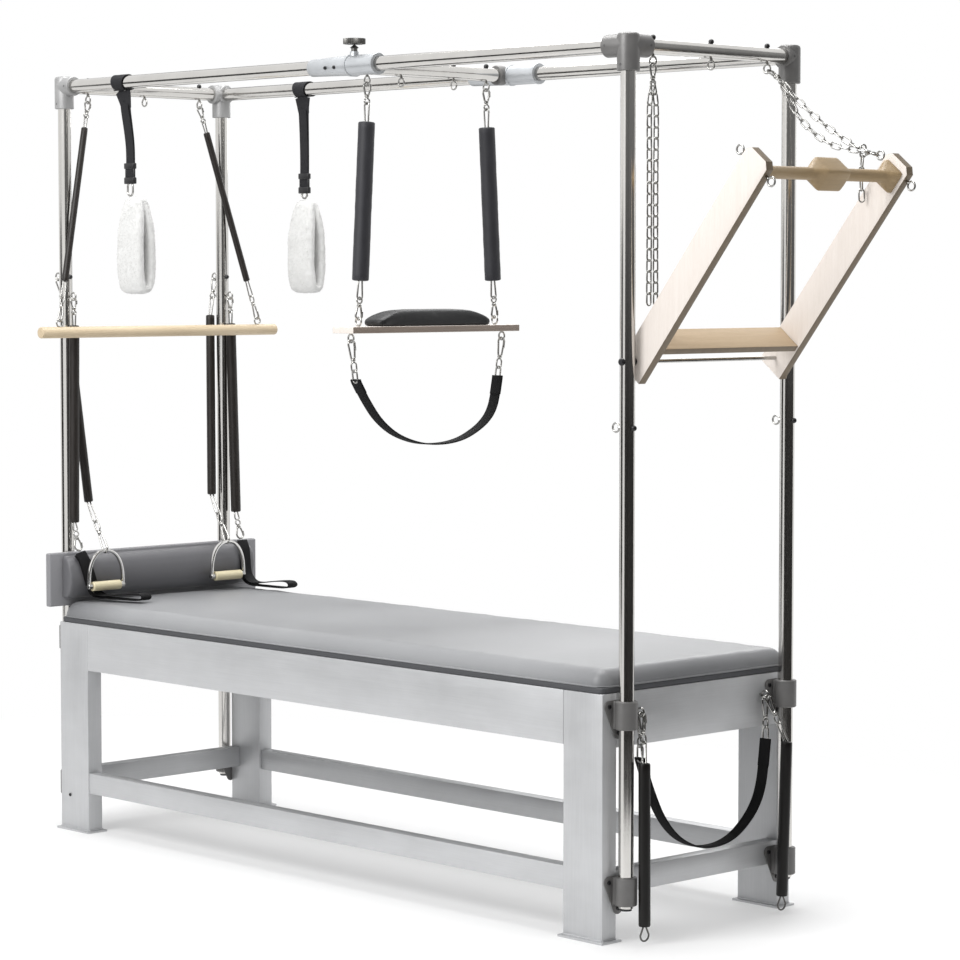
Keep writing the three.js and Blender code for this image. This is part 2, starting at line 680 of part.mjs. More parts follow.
// Handle springs on the left posts' outer eyes, each with a chromed bow and a wooden grip.
const HANDLE = { inwards: 117, near: 51.5, far: 79.5, top: 141.4, grip: 36.4, half: 62, wire: 3.5 };
const GRIP_WOOD = { radius: 14, length: 102 };
const HANDLE_SLING = { topDrop: 118, topOut: 30, topInset: 24.5, footRise: 137, footIn: 20, footInset: 62.5 };
const handleX = -postX + HANDLE.inwards;
const bowHigh = padTop + HANDLE.top;
const gripZ = padTop + HANDLE.grip;
const HANDLE_SLEEVE = { radius: 13.5 };
for (const [row, side] of [["near", -1], ["far", 1]]) {
  const eye = at(-postX - eyeReach, side * postY, outerEyeZ);
  const handleY = side * (postY - HANDLE[row]);
  const bowTop = at(handleX, handleY, bowHigh);
  const sleeveFoot = at(
    -postX + HANDLE_SLING.footIn,
    side * (postY - HANDLE_SLING.footInset),
    bowHigh + HANDLE_SLING.footRise,
  );
  const sleeveTop = at(
    -postX - HANDLE_SLING.topOut,
    side * (postY - HANDLE_SLING.topInset),
    outerEyeZ - HANDLE_SLING.topDrop,
  );
  const spec = {
    top: leansLevel(eye),
    sleeveTop,
    sleeveFoot,
    foot: along(bowTop, towards(sleeveFoot, bowTop), HANDLE.wire + LINK.wire + GAP),
    radius: HANDLE_SLEEVE.radius,
    upper: 2,
    lower: 2,
    topAcross: Y,
    footAcross: X,
  };
  add(`handle_spring_${row}`, sling(spec), "sleeve");

  const steps = 12;
  const arch = Array.from({ length: steps + 1 }, (_, n) => {
    const angle = (Math.PI * n) / steps;
    const rise = bowHigh - gripZ;
    const y = handleY - HANDLE.half * Math.cos(angle);
    return at(handleX, y, gripZ + rise * Math.sin(angle) ** 0.7);
  });
  const curve = new THREE.CatmullRomCurve3(arch);
  const rodRadius = HANDLE.wire;
  const ends = [-1, 1].map((way) => at(handleX, handleY + way * (HANDLE.half + HANDLE.wire), gripZ));
  const stop = GRIP_WOOD.length / 2 + GAP;
  const collars = [-1, 1].map((way) =>
    rod(
      at(handleX, handleY + way * stop, gripZ),
      at(handleX, handleY + way * (HANDLE.half + HANDLE.wire), gripZ),
      2 * HANDLE.wire,
      SIDES.pin,
    ),
  );
  const bow = [wireAlong(curve, HANDLE.wire, steps, SIDES.pin), rod(...ends, rodRadius, SIDES.pin)];
  add(`handle_bow_${row}`, join([...bow, ...collars]), "chrome");
  const gripEnds = [-1, 1].map((way) =>
    at(handleX, handleY + (way * GRIP_WOOD.length) / 2, gripZ),
  );
  const grip = rod(...gripEnds, GRIP_WOOD.radius, SIDES.sleeve);
  const hole = borer(
    along(gripEnds[0], Y, -OVERRUN),
    along(gripEnds[1], Y, OVERRUN),
    rodRadius + 2 * GAP,
    SIDES.pin,
  );
  add(`handle_grip_${row}`, cut(grip, [hole]), "wood");
}

// Strap springs on the left posts' inner eyes, with webbing loops that lie over the cushion.
const STRAP_SLEEVE = { radius: 15.5, topDrop: 85, footRise: 83, topIn: 40, footIn: 47, footOut: 11.5 };
const WEBBING = { width: 38, thick: 3 };
const STRAP_RING = { inwards: 70, rise: 139.4 };
const STRAP = { reach: 210, spread: 88, fall: 137.5 };
const loopSteps = 28;
// Each strap's route from its ring and back, as shares of its reach, spread and fall.
const strapShares = {
  near: [
    [-0.0143, 0.0114, -0.0727],
    [0.0619, 0.0909, -0.2109],
    [0.0952, 0.2045, -0.48],
    [0.1, 0.3409, -0.7564],
    [0.1286, 0.4545, -0.9164],
    [0.219, 0.5455, -0.9927],
    [0.4286, 0.6591, -1],
    [0.7143, 0.8182, -1],
    [0.9333, 0.9545, -0.9927],
    [1, 1, -0.9309],
    [0.9333, 0.9659, -0.8655],
    [0.6905, 0.8182, -0.8945],
    [0.4048, 0.6477, -0.9455],
    [0.2381, 0.5341, -0.9418],
    [0.1571, 0.4432, -0.8727],
    [0.1238, 0.3409, -0.7273],
    [0.119, 0.2045, -0.4655],
    [0.0905, 0.0909, -0.2036],
    [0.0286, 0.0114, -0.0218],
  ],
  far: [
    [-0.0143, 0, -0.0727],
    [0.0619, 0, -0.2109],
    [0.0952, -0.0114, -0.48],
    [0.1143, -0.0227, -0.7564],
    [0.181, -0.0227, -0.9164],
    [0.3143, -0.0114, -0.9927],
    [0.5238, 0.0227, -1],
    [0.8333, 0.0795, -1],
    [1.0381, 0.125, -0.9891],
    [1.1143, 0.1364, -0.9236],
    [1.0381, 0.125, -0.8509],
    [0.7857, 0.0795, -0.8727],
    [0.5, 0.0227, -0.9309],
    [0.3238, -0.0114, -0.9345],
    [0.219, -0.0227, -0.8582],
    [0.1476, -0.0227, -0.7127],
    [0.119, -0.0114, -0.4655],
    [0.0905, 0, -0.2036],
    [0.0286, 0, -0.0218],
  ],
};
for (const [row, side] of [["near", -1], ["far", 1]]) {
  const eye = at(-postX + eyeReach, side * postY, innerEyeZ);
  const footY = side * (postY + STRAP_SLEEVE.footOut);
  const ring = at(-postX + STRAP_RING.inwards, footY, padTop + STRAP_RING.rise);
  const spec = {
    top: hangsLevel(eye),
    sleeveTop: at(-postX + STRAP_SLEEVE.topIn, side * postY, innerEyeZ - STRAP_SLEEVE.topDrop),
    sleeveFoot: at(-postX + STRAP_SLEEVE.footIn, footY, ring.z + STRAP_SLEEVE.footRise),
    foot: ring,
    radius: STRAP_SLEEVE.radius,
    upper: 2,
    lower: 2,
    topAcross: Y,
    footAcross: Y,
  };
  add(`strap_spring_${row}`, sling(spec), "sleeve");
  const spots = strapShares[row].map(([x, y, z]) =>
    at(ring.x + x * STRAP.reach, footY + y * STRAP.spread, ring.z + z * STRAP.fall),
  );
  add(`strap_loop_${row}`, band(spots, Y, WEBBING, loopSteps), "webbing");
}

// Fleece loops on webbing that is choked round the long rails.
const FLEECE = { width: 110, depth: 80, thick: 24, length: 283, hang: 327 };
const CHOKE = { thick: 3.5, band: 62, strap: 36, buckle: 46, buckleHigh: 62, buckleThick: 14 };
const HOOK = { half: 12, wire: 3 };
const CHOKE_PLACES = {
  near: { along: 282, buckleAhead: 36, fleeceAhead: 62, buckleDrop: 231, dip: 2 },
  far: { along: 390, buckleAhead: 4, fleeceAhead: 12, buckleDrop: 249, dip: 0.5 },
};
const fleeceHigh = railZ - FLEECE.hang;
const fleeceLow = fleeceHigh - FLEECE.length;
for (const [row, side] of [["near", -1], ["far", 1]]) {
  const place = CHOKE_PLACES[row];
  const wrap = -postX + place.along;
  const buckleX = wrap + place.buckleAhead;
  const fleeceX = wrap + place.fleeceAhead;
  const buckleTop = railZ - place.buckleDrop;
  const y = side * postY;
  const outer = postRadius + 2 * GAP + CHOKE.thick;
  const half = CHOKE.band / 2;
  const band = rod(
    at(wrap - half, y, railZ),
    at(wrap + half, y, railZ),
    outer,
  );
  const bore = borer(
    at(wrap - half - OVERRUN, y, railZ),
    at(wrap + half + OVERRUN, y, railZ),
    postRadius + GAP,
    SIDES.round,
  );
  const strapHalf = CHOKE.strap / 2;
  const neck = railZ - postRadius - CHOKE.thick;
  const throat = neck - CHOKE.band;
  const outline = [
    new THREE.Vector2(wrap - half, neck),
    new THREE.Vector2((wrap + buckleX) / 2 - strapHalf, throat),
    new THREE.Vector2(buckleX - strapHalf, buckleTop - CHOKE.buckleHigh),
    new THREE.Vector2(buckleX + strapHalf, buckleTop - CHOKE.buckleHigh),
    new THREE.Vector2((wrap + buckleX) / 2 + strapHalf, throat),
    new THREE.Vector2(wrap + half, neck),
  ];
  const strap = plate(outline, 2 * CHOKE.thick)
    .applyMatrix4(new THREE.Matrix4().makeBasis(X, Z, Y.clone().negate()))
    .translate(0, y + CHOKE.thick, 0);
  const buckle = box(
    at(buckleX - CHOKE.buckle / 2, y - CHOKE.buckleThick / 2, buckleTop - CHOKE.buckleHigh),
    at(buckleX + CHOKE.buckle / 2, y + CHOKE.buckleThick / 2, buckleTop),
  );
  const hookFoot = at(buckleX, y, fleeceHigh - place.dip + HOOK.wire);
  const hookTop = at(buckleX, y, buckleTop - CHOKE.buckleHigh + HOOK.wire);
  const hook = link(hookTop, hookFoot, HOOK.half, HOOK.wire, X);
  const choke = cut(join([band, strap, buckle, hook]), [bore]);
  add(`fleece_strap_${row}`, choke, "strapGrey");

  // A fleece band bent into a loop, open along X.
  const tube = FLEECE.thick / 2;
  const spread = FLEECE.depth / 2 - tube;
  const ends = [at(fleeceX, y, fleeceHigh - tube), at(fleeceX, y, fleeceLow + tube)];
  const loop = link(at(0, 0, ends[0].z), at(0, 0, ends[1].z), spread, tube, Y, SIDES.sleeve, SIDES.round);
  loop.applyMatrix4(new THREE.Matrix4().makeScale(FLEECE.width / FLEECE.thick, 1, 1));
  add(`fleece_loop_${row}`, loop.translate(fleeceX, y, 0), "fleece");
}

// Trapeze: two slings, a seat board with its cushion, and a strap below it.
const SLING = { topDrop: 145, footDrop: 570, radius: 23, spread: 26, eye: 33 };
const SEAT = { hang: 710, thick: 18, depth: 84, cushionInset: 8, cushionHigh: 45, eyeInset: 20, edge: 9 };
const seatLow = railZ - SEAT.hang;
const seatHigh = seatLow + SEAT.thick;
const seatReach = stance + TRAPEZE.overhang;
const lowerRingY = seatReach - SEAT.eyeInset;
const upperRing = EYE.ring + EYE.wire;
for (const [row, side] of [["near", -1], ["far", 1]]) {
  const eye = at(TRAPEZE.x, side * stance, railZ - EYE.drop);
  const ring = at(TRAPEZE.x, side * (stance + SLING.eye), seatHigh + upperRing);
  const spec = {
    top: hangs(eye),
    sleeveTop: at(TRAPEZE.x, side * (stance + OVERRUN), railZ - SLING.topDrop),
    sleeveFoot: at(TRAPEZE.x, side * (stance + SLING.spread), railZ - SLING.footDrop),
    foot: along(ring, Z, HOOK_DROP),
    radius: SLING.radius,
    upper: 2,
    lower: 2,
    topAcross: Y,
    footAcross: Y,
  };
  add(`trapeze_sling_${row}`, sling(spec), "sleeve");
}
function seatBoard() {
  const half = SEAT.depth / 2;
  const low = at(TRAPEZE.x - half, -seatReach - SEAT.edge, seatLow);
  const high = at(TRAPEZE.x + half, seatReach + SEAT.edge, seatHigh);
  const pieces = [box(low, high)];
  for (const side of [-1, 1]) {
    const up = at(TRAPEZE.x, side * (stance + SLING.eye), seatHigh + upperRing);
    pieces.push(...eyeBolt(up, Z.clone().negate(), upperRing + SEAT.thick / 2, Y).slice(0, 2));
    const down = at(TRAPEZE.x, side * lowerRingY, seatLow - upperRing);
    pieces.push(...eyeBolt(down, Z, upperRing + SEAT.thick / 2, Y).slice(0, 2));
  }
  return join(pieces);
}
add("seat_board", seatBoard(), "wood");

function seatCushion() {
  const depth = SEAT.depth - SEAT.edge / 3;
  const shares = [
    [0, 0],
    [0.01, 0.35],
    [0.06, 0.6],
    [0.2, 0.82],
    [0.45, 0.95],
    [0.8, 1],
  ];
  const rings = shares.map(([inward, up]) =>
    roundedRectangle(depth, 2 * (stance - SEAT.cushionInset), depth / 4, (inward * depth) / 2, 4).map((p) =>
      at(TRAPEZE.x + p.x, p.y, seatHigh + GAP + up * SEAT.cushionHigh),
    ),
  );
  return loft(rings);
}
add("seat_cushion", seatCushion(), "blackVinyl");

// The strap's sag as shares of its half span and of its drop.
const TRAPEZE_STRAP = { inset: 16, hang: 127, drop: 180 };
const strapHalf = lowerRingY - TRAPEZE_STRAP.inset;
const strapHigh = seatLow - TRAPEZE_STRAP.hang;
const sagShares = [
  [-1, 1],
  [-0.86, 0.69],
  [-0.69, 0.4],
  [-0.47, 0.18],
  [-0.2, 0.045],
  [0.07, 0],
  [0.34, 0.025],
  [0.57, 0.12],
  [0.8, 0.31],
  [0.93, 0.56],
  [1, 1],
];
const sagSteps = 14;
function hangingStrap({ x, half, high, drop }) {
  const points = sagShares.map(([y, z]) => at(x, y * half, high - drop + z * drop));
  return band(points, X, WEBBING, sagSteps);
}
function trapezeStrap() {
  const pieces = [
    hangingStrap({ x: TRAPEZE.x, half: strapHalf, high: strapHigh, drop: TRAPEZE_STRAP.drop }),
  ];
  for (const side of [-1, 1]) {
    const ring = at(TRAPEZE.x, side * lowerRingY, seatLow - upperRing);
    const foot = at(TRAPEZE.x, side * strapHalf, strapHigh - LINK.half);
    pieces.push(...links(foot, hangs(ring), 2, LINK.half, LINK.wire, Y));
  }
  return join(pieces);
}
add("trapeze_strap", trapezeStrap(), "webbing");

// Push-through bar, made upright and leant outwards about its pivot.
const pushBar = new THREE.Group();
pushBar.position.set(postX, 0, BAR.pivotHeight);
pushBar.rotation.y = THREE.MathUtils.degToRad(BAR.lean);
root.add(pushBar);
const ARM = { offset: 3, chamfer: 14, foot: 34, eye: 600, eyeOut: 62 };
const SHELF = { low: 55, thick: 18, depth: 76 };
const GRIP = { height: 582, radius: 15.5, block: 31, from: -50, to: 74, slope: 26, endSlope: 30 };
const lean = THREE.MathUtils.degToRad(BAR.lean);
const barStance = postY - BAR.inset;
function barArm(y) {
  const half = BAR.armWidth / 2;
  const [left, right] = [ARM.offset - half, ARM.offset + half];
  const outline = [
    new THREE.Vector2(left, -ARM.foot),
    new THREE.Vector2(right, -ARM.foot),
    new THREE.Vector2(right, BAR.arm - ARM.chamfer),
    new THREE.Vector2(right - ARM.chamfer, BAR.arm),
    new THREE.Vector2(left + ARM.chamfer, BAR.arm),
    new THREE.Vector2(left, BAR.arm - ARM.chamfer),
  ];
  const board = plate(outline, BAR.armThick)
    .applyMatrix4(new THREE.Matrix4().makeBasis(X, Z, Y.clone().negate()))
    .translate(0, y + BAR.armThick / 2, 0);
  const eyes = [-1, 1].flatMap((side) =>
    eyeBolt(
      at(ARM.offset + side * ARM.eyeOut, y, ARM.eye),
      X.clone().multiplyScalar(-side),
      ARM.eyeOut - half / 2,
      Y,
    ).slice(0, 2),
  );
  const reach = BAR.armThick / 2 + OVERRUN;
  const hole = borer(at(0, y - reach, 0), at(0, y + reach, 0), AXLE.radius + GAP, SIDES.pin);
  return cut(join([board, ...eyes]), [hole]);
}
const armInner = barStance - BAR.armThick / 2 - GAP;
add("push_bar_arm_near", barArm(-barStance), "wood", pushBar);
add("push_bar_arm_far", barArm(barStance), "wood", pushBar);
add(
  "push_bar_shelf",
  box(
    at(ARM.offset - SHELF.depth / 2, -armInner, SHELF.low),
    at(ARM.offset + SHELF.depth / 2, armInner, SHELF.low + SHELF.thick),
  ),
  "wood",
  pushBar,
);

// The handle: a round rod that swells to a block in the middle and at both arms.
function pushHandle() {
  const start = at(ARM.offset, -armInner, GRIP.height);
  const pieces = [rod(start, along(start, Y, 2 * armInner), GRIP.radius)];
  const square = (y, half) =>
    [
      [-1, -1],
      [1, -1],
      [1, 1],
      [-1, 1],
    ].map(([x, z]) => at(ARM.offset + x * half, y, GRIP.height + z * half));
  const flare = (spots) => loft(spots.map(([y, half]) => square(y, half).reverse()));
  const thin = GRIP.radius / Math.SQRT2;
  pieces.push(
    flare([
      [GRIP.from, thin],
      [GRIP.from + GRIP.slope, GRIP.block],
      [GRIP.to - GRIP.slope, GRIP.block],
      [GRIP.to, thin],
    ]),
    flare([
      [-armInner, GRIP.block],
      [-armInner + SHELF.thick / 2, GRIP.block],
      [-armInner + GRIP.endSlope, thin],
    ]),
    flare([
      [armInner - GRIP.endSlope, thin],
      [armInner - SHELF.thick / 2, GRIP.block],
      [armInner, GRIP.block],
    ]),
  );
  return join(pieces);
}
add("push_bar_handle", pushHandle(), "wood", pushBar);

// The axle runs through both posts and both arms.
const armOuter = barStance + BAR.armThick / 2 + GAP;
const postInner = postY - postRadius - GAP;
const postOuter = postY + postRadius + GAP;
const axleProfile = [
  [0, -postOuter - AXLE.headLength],
  [AXLE.head, -postOuter - AXLE.headLength],
  [AXLE.head, -postOuter],
  [AXLE.radius, -postOuter],
  [AXLE.radius, -postInner],
  [AXLE.washer, -postInner],
  [AXLE.washer, -armOuter],
  [AXLE.radius, -armOuter],
];
const mirrored = axleProfile.map(([radius, y]) => [radius, -y]).reverse();
add(
  "push_bar_axle",
  turned([...axleProfile, ...mirrored], at(postX, 0, BAR.pivotHeight), Y, SIDES.pin),
  "chrome",
);

// Chains: alternate links along a route.
const CHAIN = { length: 46, half: 7.5, wire: 2.2, bite: 3 };
const linkPitch = CHAIN.length - 4 * CHAIN.wire + CHAIN.bite;
function chain(curve) {
  const length = curve.getLength();
  const steps = Math.round((length - CHAIN.length) / linkPitch);
  const pitch = (length - CHAIN.length) / steps;
  const reach = (CHAIN.length - 2 * CHAIN.wire) / 2;
  return Array.from({ length: steps + 1 }, (_, n) => {
    const share = (CHAIN.length / 2 + n * pitch) / length;
    const middle = curve.getPointAt(share);
    const down = curve.getTangentAt(share);
    const level = Math.abs(down.y) < 1 / 2 ? Y : X;
    const across = n % 2 ? level : level.clone().cross(down).normalize();
    const [a, b] = [along(middle, down, -reach), along(middle, down, reach)];
    return link(a, b, CHAIN.half, CHAIN.wire, across, SIDES.wire, SIDES.chain);
  });
}
const line = (...points) => new THREE.CatmullRomCurve3(points, false, "centripetal");
const NEAR_CHAIN = { snapDrop: 95, footRise: 133, half: 12 };
const snapZ = railZ - NEAR_CHAIN.snapDrop;
const chainEye = (side) => at(postX, side * crossEyeY, railZ - EYE.drop);
function nearChain() {
  const top = hangs(chainEye(-1));
  const snapFoot = at(top.x, top.y, snapZ);
  const fall = snapZ - BAR.pivotHeight - NEAR_CHAIN.footRise - CHAIN.length;
  const wholeFall = Math.round(fall / linkPitch) * linkPitch + CHAIN.length;
  const pieces = links(snapFoot, top, 1, LINK.half, LINK.wire, Y);
  for (const side of [-1, 1]) {
    const y = top.y + side * NEAR_CHAIN.half;
    const start = at(top.x, top.y + side * CHAIN.wire, snapZ + LINK.wire + CHAIN.wire);
    const foot = at(top.x, y, snapZ - wholeFall);
    const spots = [at(top.x, y, snapZ - 2 * CHAIN.length), foot];
    pieces.push(...chain(line(start, ...spots)));
  }
  return join(pieces);
}
add("near_chain", nearChain(), "chrome");

const FAR_CHAIN = { snap: 40, back: 35.1, inwards: 25.5, rise: 10.9, sag: 14, slack: 52, endHalf: 16 };
const tailLinks = 2;
function farChain() {
  const armEye = at(ARM.offset - ARM.eyeOut, barStance, ARM.eye);
  armEye.applyAxisAngle(Y, lean).add(pushBar.position);
  const end = armEye.clone().add(at(-FAR_CHAIN.back, -FAR_CHAIN.inwards, FAR_CHAIN.rise));
  const top = along(chainEye(1), towards(chainEye(1), end), HOOK_DROP);
  const snapFoot = along(top, towards(top, end), FAR_CHAIN.snap);
  const tail = CHAIN.length + tailLinks * linkPitch;
  const hook = along(armEye, towards(armEye, end), HOOK_DROP - LINK.wire);
  const sag = (share, depth) => snapFoot.clone().lerp(end, share).addScaledVector(Z, -depth);
  const strands = [
    line(snapFoot, sag(0.3, FAR_CHAIN.sag), sag(0.65, FAR_CHAIN.sag), end),
    line(snapFoot, sag(0.25, FAR_CHAIN.slack), sag(0.6, FAR_CHAIN.slack), end),
    line(end, along(end, Z, -tail / 2), along(end, Z, -tail)),
  ];
  const snaps = [
    ...links(snapFoot, top, 1, LINK.half, LINK.wire, Y),
    ...links(end, hook, 1, FAR_CHAIN.endHalf, LINK.wire, Y),
  ];
  return join([...snaps, ...strands.flatMap(chain)]);
}
add("far_chain", farChain(), "chrome");

// Lower springs and the lower strap at the foot end, on the end frame's eye bolts.
const LOWER = { radius: 15, loopLength: 36 };
const LOWER_PLACES = {
  near: { topOut: 64, topInset: 82, topDrop: 117, footOut: 70, footInset: 78, footZ: 44 },
  far: { topOut: 64, topInset: 88, topDrop: 119, footOut: 60, footInset: 98, footZ: 46 },
};
for (const [row, side] of [["near", -1], ["far", 1]]) {
  const place = LOWER_PLACES[row];
  const ring = at(endX + LOWER_EYE.out, side * lowerEyeY, lowerEyeZ);
  const top = at(endX + place.topOut, side * (sideY - place.topInset), lowerEyeZ - place.topDrop);
  const foot = at(endX + place.footOut, side * (sideY - place.footInset), place.footZ);
  const down = towards(top, foot);
  const spec = {
    top: along(ring, X, HOOK_DROP),
    sleeveTop: top,
    sleeveFoot: foot,
    foot: along(foot, down, LOWER.loopLength),
    radius: LOWER.radius,
    upper: 2,
    lower: 1,
    topAcross: Y,
    footAcross: Y,
  };
  add(`lower_spring_${row}`, sling(spec), "webbing");
}
const LOWER_STRAP = { outset: 2, hang: 116, drop: 249 };
const lowerX = endX + LOWER_EYE.out;
const lowerHalf = lowerEyeY + LOWER_STRAP.outset;
const lowerHigh = lowerEyeZ - LOWER_STRAP.hang;
function lowerStrap() {
  const pieces = [
    hangingStrap({ x: lowerX, half: lowerHalf, high: lowerHigh, drop: LOWER_STRAP.drop }),
  ];
  for (const side of [-1, 1]) {
    const ring = at(lowerX, side * lowerEyeY, lowerEyeZ);
    const foot = at(lowerX, side * lowerHalf, lowerHigh - LINK.half);
    pieces.push(...links(foot, hangsLevel(ring), 3, LINK.half, LINK.wire, Y));
  }
  return join(pieces);
}
add("lower_strap", lowerStrap(), "webbing");

// The part stands on z = 0, with its box centred on the origin.
root.updateMatrixWorld(true);
const bounds = new THREE.Box3().setFromObject(root, true);
const centre = bounds.getCenter(new THREE.Vector3());
root.position.set(-centre.x, -centre.y, -bounds.min.z);
root.updateMatrixWorld(true);

export default root;
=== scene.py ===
import random
import bmesh
import bpy
from math import atan2, copysign, cos, exp, hypot, pi, radians, sin, sqrt
from mathutils import Matrix, Vector
from mathutils.noise import noise


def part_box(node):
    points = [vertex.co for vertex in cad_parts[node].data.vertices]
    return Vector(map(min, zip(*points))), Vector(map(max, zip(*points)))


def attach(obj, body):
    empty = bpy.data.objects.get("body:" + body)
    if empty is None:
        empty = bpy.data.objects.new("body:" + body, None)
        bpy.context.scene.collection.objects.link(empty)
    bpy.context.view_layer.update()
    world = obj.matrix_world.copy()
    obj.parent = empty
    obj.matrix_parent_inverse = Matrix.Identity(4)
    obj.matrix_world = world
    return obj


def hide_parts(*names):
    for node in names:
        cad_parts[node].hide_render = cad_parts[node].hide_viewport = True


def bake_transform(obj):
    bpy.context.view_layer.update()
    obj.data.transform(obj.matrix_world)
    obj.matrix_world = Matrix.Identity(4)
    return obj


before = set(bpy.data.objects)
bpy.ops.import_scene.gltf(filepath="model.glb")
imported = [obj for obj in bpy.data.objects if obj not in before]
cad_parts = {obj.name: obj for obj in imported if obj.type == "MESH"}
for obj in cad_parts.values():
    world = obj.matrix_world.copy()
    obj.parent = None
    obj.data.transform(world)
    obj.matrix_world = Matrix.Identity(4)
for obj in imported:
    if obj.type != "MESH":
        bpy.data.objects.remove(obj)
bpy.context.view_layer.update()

railLow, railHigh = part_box("rail_near")
middleX = (railLow[0] + railHigh[0]) / 2  # the table's own middle, which isn't the middle of the box
print("frame loaded, table middle at", round(middleX, 4))

xAxis, yAxis, zAxis = Vector((1, 0, 0)), Vector((0, 1, 0)), Vector((0, 0, 1))
sides = {"near": -1, "far": 1}
ends = {"left": -1, "right": 1}


def place(point):  # millimetres from the table's middle on the floor, to metres in the frame
    return Vector((point[0] / 1000 + middleX, point[1] / 1000, point[2] / 1000))


def addObject(name, data):
    made = bpy.data.objects.new(name, data)
    bpy.context.scene.collection.objects.link(made)
    return made


def camel(words):
    first, *rest = words.split("_")
    return first + "".join(word.title() for word in rest)


# Camera, floor and light
picture = {
    "camera": (6361.9, -5749.7, 1636.9),
    "yaw": 46.437,
    "pitch": -3.6655,
    "lens": 116.26,
    "shift": (0.00055, -0.0051),
    "farClip": 60,
    "floorColour": (0.93, 0.93, 0.93, 1),
    "floorReach": 30,
    "surround": 0.46,
    "squash": (0.8, 1.25, 1),  # the floor's lit patch, before it fades to white
    "fade": (1.2, 2.9),
    "wash": 0.36,
}
lamps = {  # place, aim, size, power
    "key": ((-0.1, -4.8, 4.2), (0.0, 0, 0.9), 3.0, 220),
    "side": ((5.0, 1.4, 3.4), (0.4, 0, 0.9), 3.0, 14),
    "back": ((-3.0, 4.6, 3.6), (0, 0, 1.0), 3.2, 80),
    "top": ((-0.5, 0.3, 5.0), (-0.3, 0, 0), 3.0, 185),
}
cards = {  # dark cards that only polished metal sees: low corner, high corner
    "cardFront": ((1.1, -2.4, -0.5), (2.7, -1.3, 5.0)),
    "cardRight": ((2.7, -1.3, -0.5), (2.8, 0.6, 5.0)),
    "cardFar": ((2.8, 0.6, -0.5), (1.9, 1.7, 5.0)),
    "cardLeft": ((-6.0, -3.4, -0.5), (-2.4, -6.4, 1.9)),
    "cardBack": ((-5.5, 2.4, -0.5), (-3.4, 5.6, 5.0)),
}


def addCamera():
    camera = addObject("camera", bpy.data.cameras.new("camera"))
    yaw, pitch = radians(picture["yaw"]), radians(picture["pitch"])
    forward = Vector((-sin(yaw) * cos(pitch), cos(yaw) * cos(pitch), sin(pitch)))
    camera.location = place(picture["camera"])
    camera.rotation_euler = forward.to_track_quat("-Z", "Y").to_euler()
    camera.data.lens = picture["lens"]
    camera.data.shift_x, camera.data.shift_y = picture["shift"]
    camera.data.clip_end = picture["farClip"]
    bpy.context.scene.camera = camera


class Value:  # a shader socket that takes part in sums
    def __init__(self, tree, socket):
        self.tree, self.socket = tree, socket

    def sum(self, operation, *values):
        node = self.tree.nodes.new("ShaderNodeMath")
        node.operation = operation
        for entry, value in zip(node.inputs, values):
            feed(self.tree, entry, value)
        return Value(self.tree, node.outputs[0])

    def wave(self):
        return self.sum("SINE", self)

    def size(self):
        return self.sum("ABSOLUTE", self)


for word, operation in (("add", "ADD"), ("sub", "SUBTRACT"), ("mul", "MULTIPLY")):
    setattr(Value, f"__{word}__", lambda self, other, kind=operation: self.sum(kind, self, other))
    setattr(Value, f"__r{word}__", lambda self, other, kind=operation: self.sum(kind, other, self))


def feed(tree, entry, value):
    if isinstance(value, Value):
        tree.links.new(value.socket, entry)
    else:
        entry.default_value = value


def tone(code):  # a screen colour, such as "b9bbbb", as linear light
    parts = [int(code[n : n + 2], 16) / 255 for n in (0, 2, 4)]
    return tuple(p / 12.92 if p < 0.04045 else ((p + 0.055) / 1.055) ** 2.4 for p in parts) + (1,)


class Finish:  # one material and the nodes that make it
    def __init__(self, name, **settings):
        self.material = bpy.data.materials.new(name)
        self.material.use_nodes = True
        self.tree = self.material.node_tree
        self.shader = self.tree.nodes["Principled BSDF"]
        for label, value in settings.items():
            self.set(label.replace("_", " "), value)

    def set(self, label, value):
        feed(self.tree, self.shader.inputs[label], value)

    def node(self, kind, settings=None, output=0, **values):
        made = self.tree.nodes.new(kind)
        for label, value in (settings or {}).items():
            setattr(made, label, value)
        for label, value in values.items():
            feed(self.tree, made.inputs[label.replace("_", " ")], value)
        return Value(self.tree, made.outputs[output])

    def coordinates(self, stretch=(1, 1, 1), turn=(0, 0, 0), uv=False):
        vector = self.node("ShaderNodeUVMap") if uv else self.node("ShaderNodeTexCoord", output="Object")
        return self.node("ShaderNodeMapping", Vector=vector, Scale=stretch, Rotation=turn)

    def noise(self, scale, detail=3, stretch=(1, 1, 1), rough=0.5, **where):
        vector = self.coordinates(stretch, **where)
        return self.node("ShaderNodeTexNoise", Vector=vector, Scale=scale, Detail=detail, Roughness=rough)

    def part(self, vector, axis):
        return self.node("ShaderNodeSeparateXYZ", output=axis, Vector=vector)

    def blend(self, amount, first, second):
        mixed = self.tree.nodes.new("ShaderNodeMix")
        mixed.data_type = "RGBA"
        for index, value in ((0, amount), (6, first), (7, second)):  # the mix node's colour sockets
            feed(self.tree, mixed.inputs[index], value)
        return Value(self.tree, mixed.outputs[2])

    def between(self, value, low, high):
        return self.node("ShaderNodeMapRange", Value=value, From_Min=low, From_Max=high)

    def paint(self, amount, dark, light):
        self.set("Base Color", self.blend(amount, tone(dark), tone(light)))

    def bump(self, height, strength, distance):
        self.set("Normal", self.node("ShaderNodeBump", Height=height, Strength=strength, Distance=distance))


def sheet(name, corners, finish):  # one flat face that belongs to the stage
    mesh = bpy.data.meshes.new(name)
    mesh.from_pydata(corners, [], [(0, 1, 2, 3)])
    mesh.materials.append(finish.material)
    piece = addObject(name, mesh)
    return piece


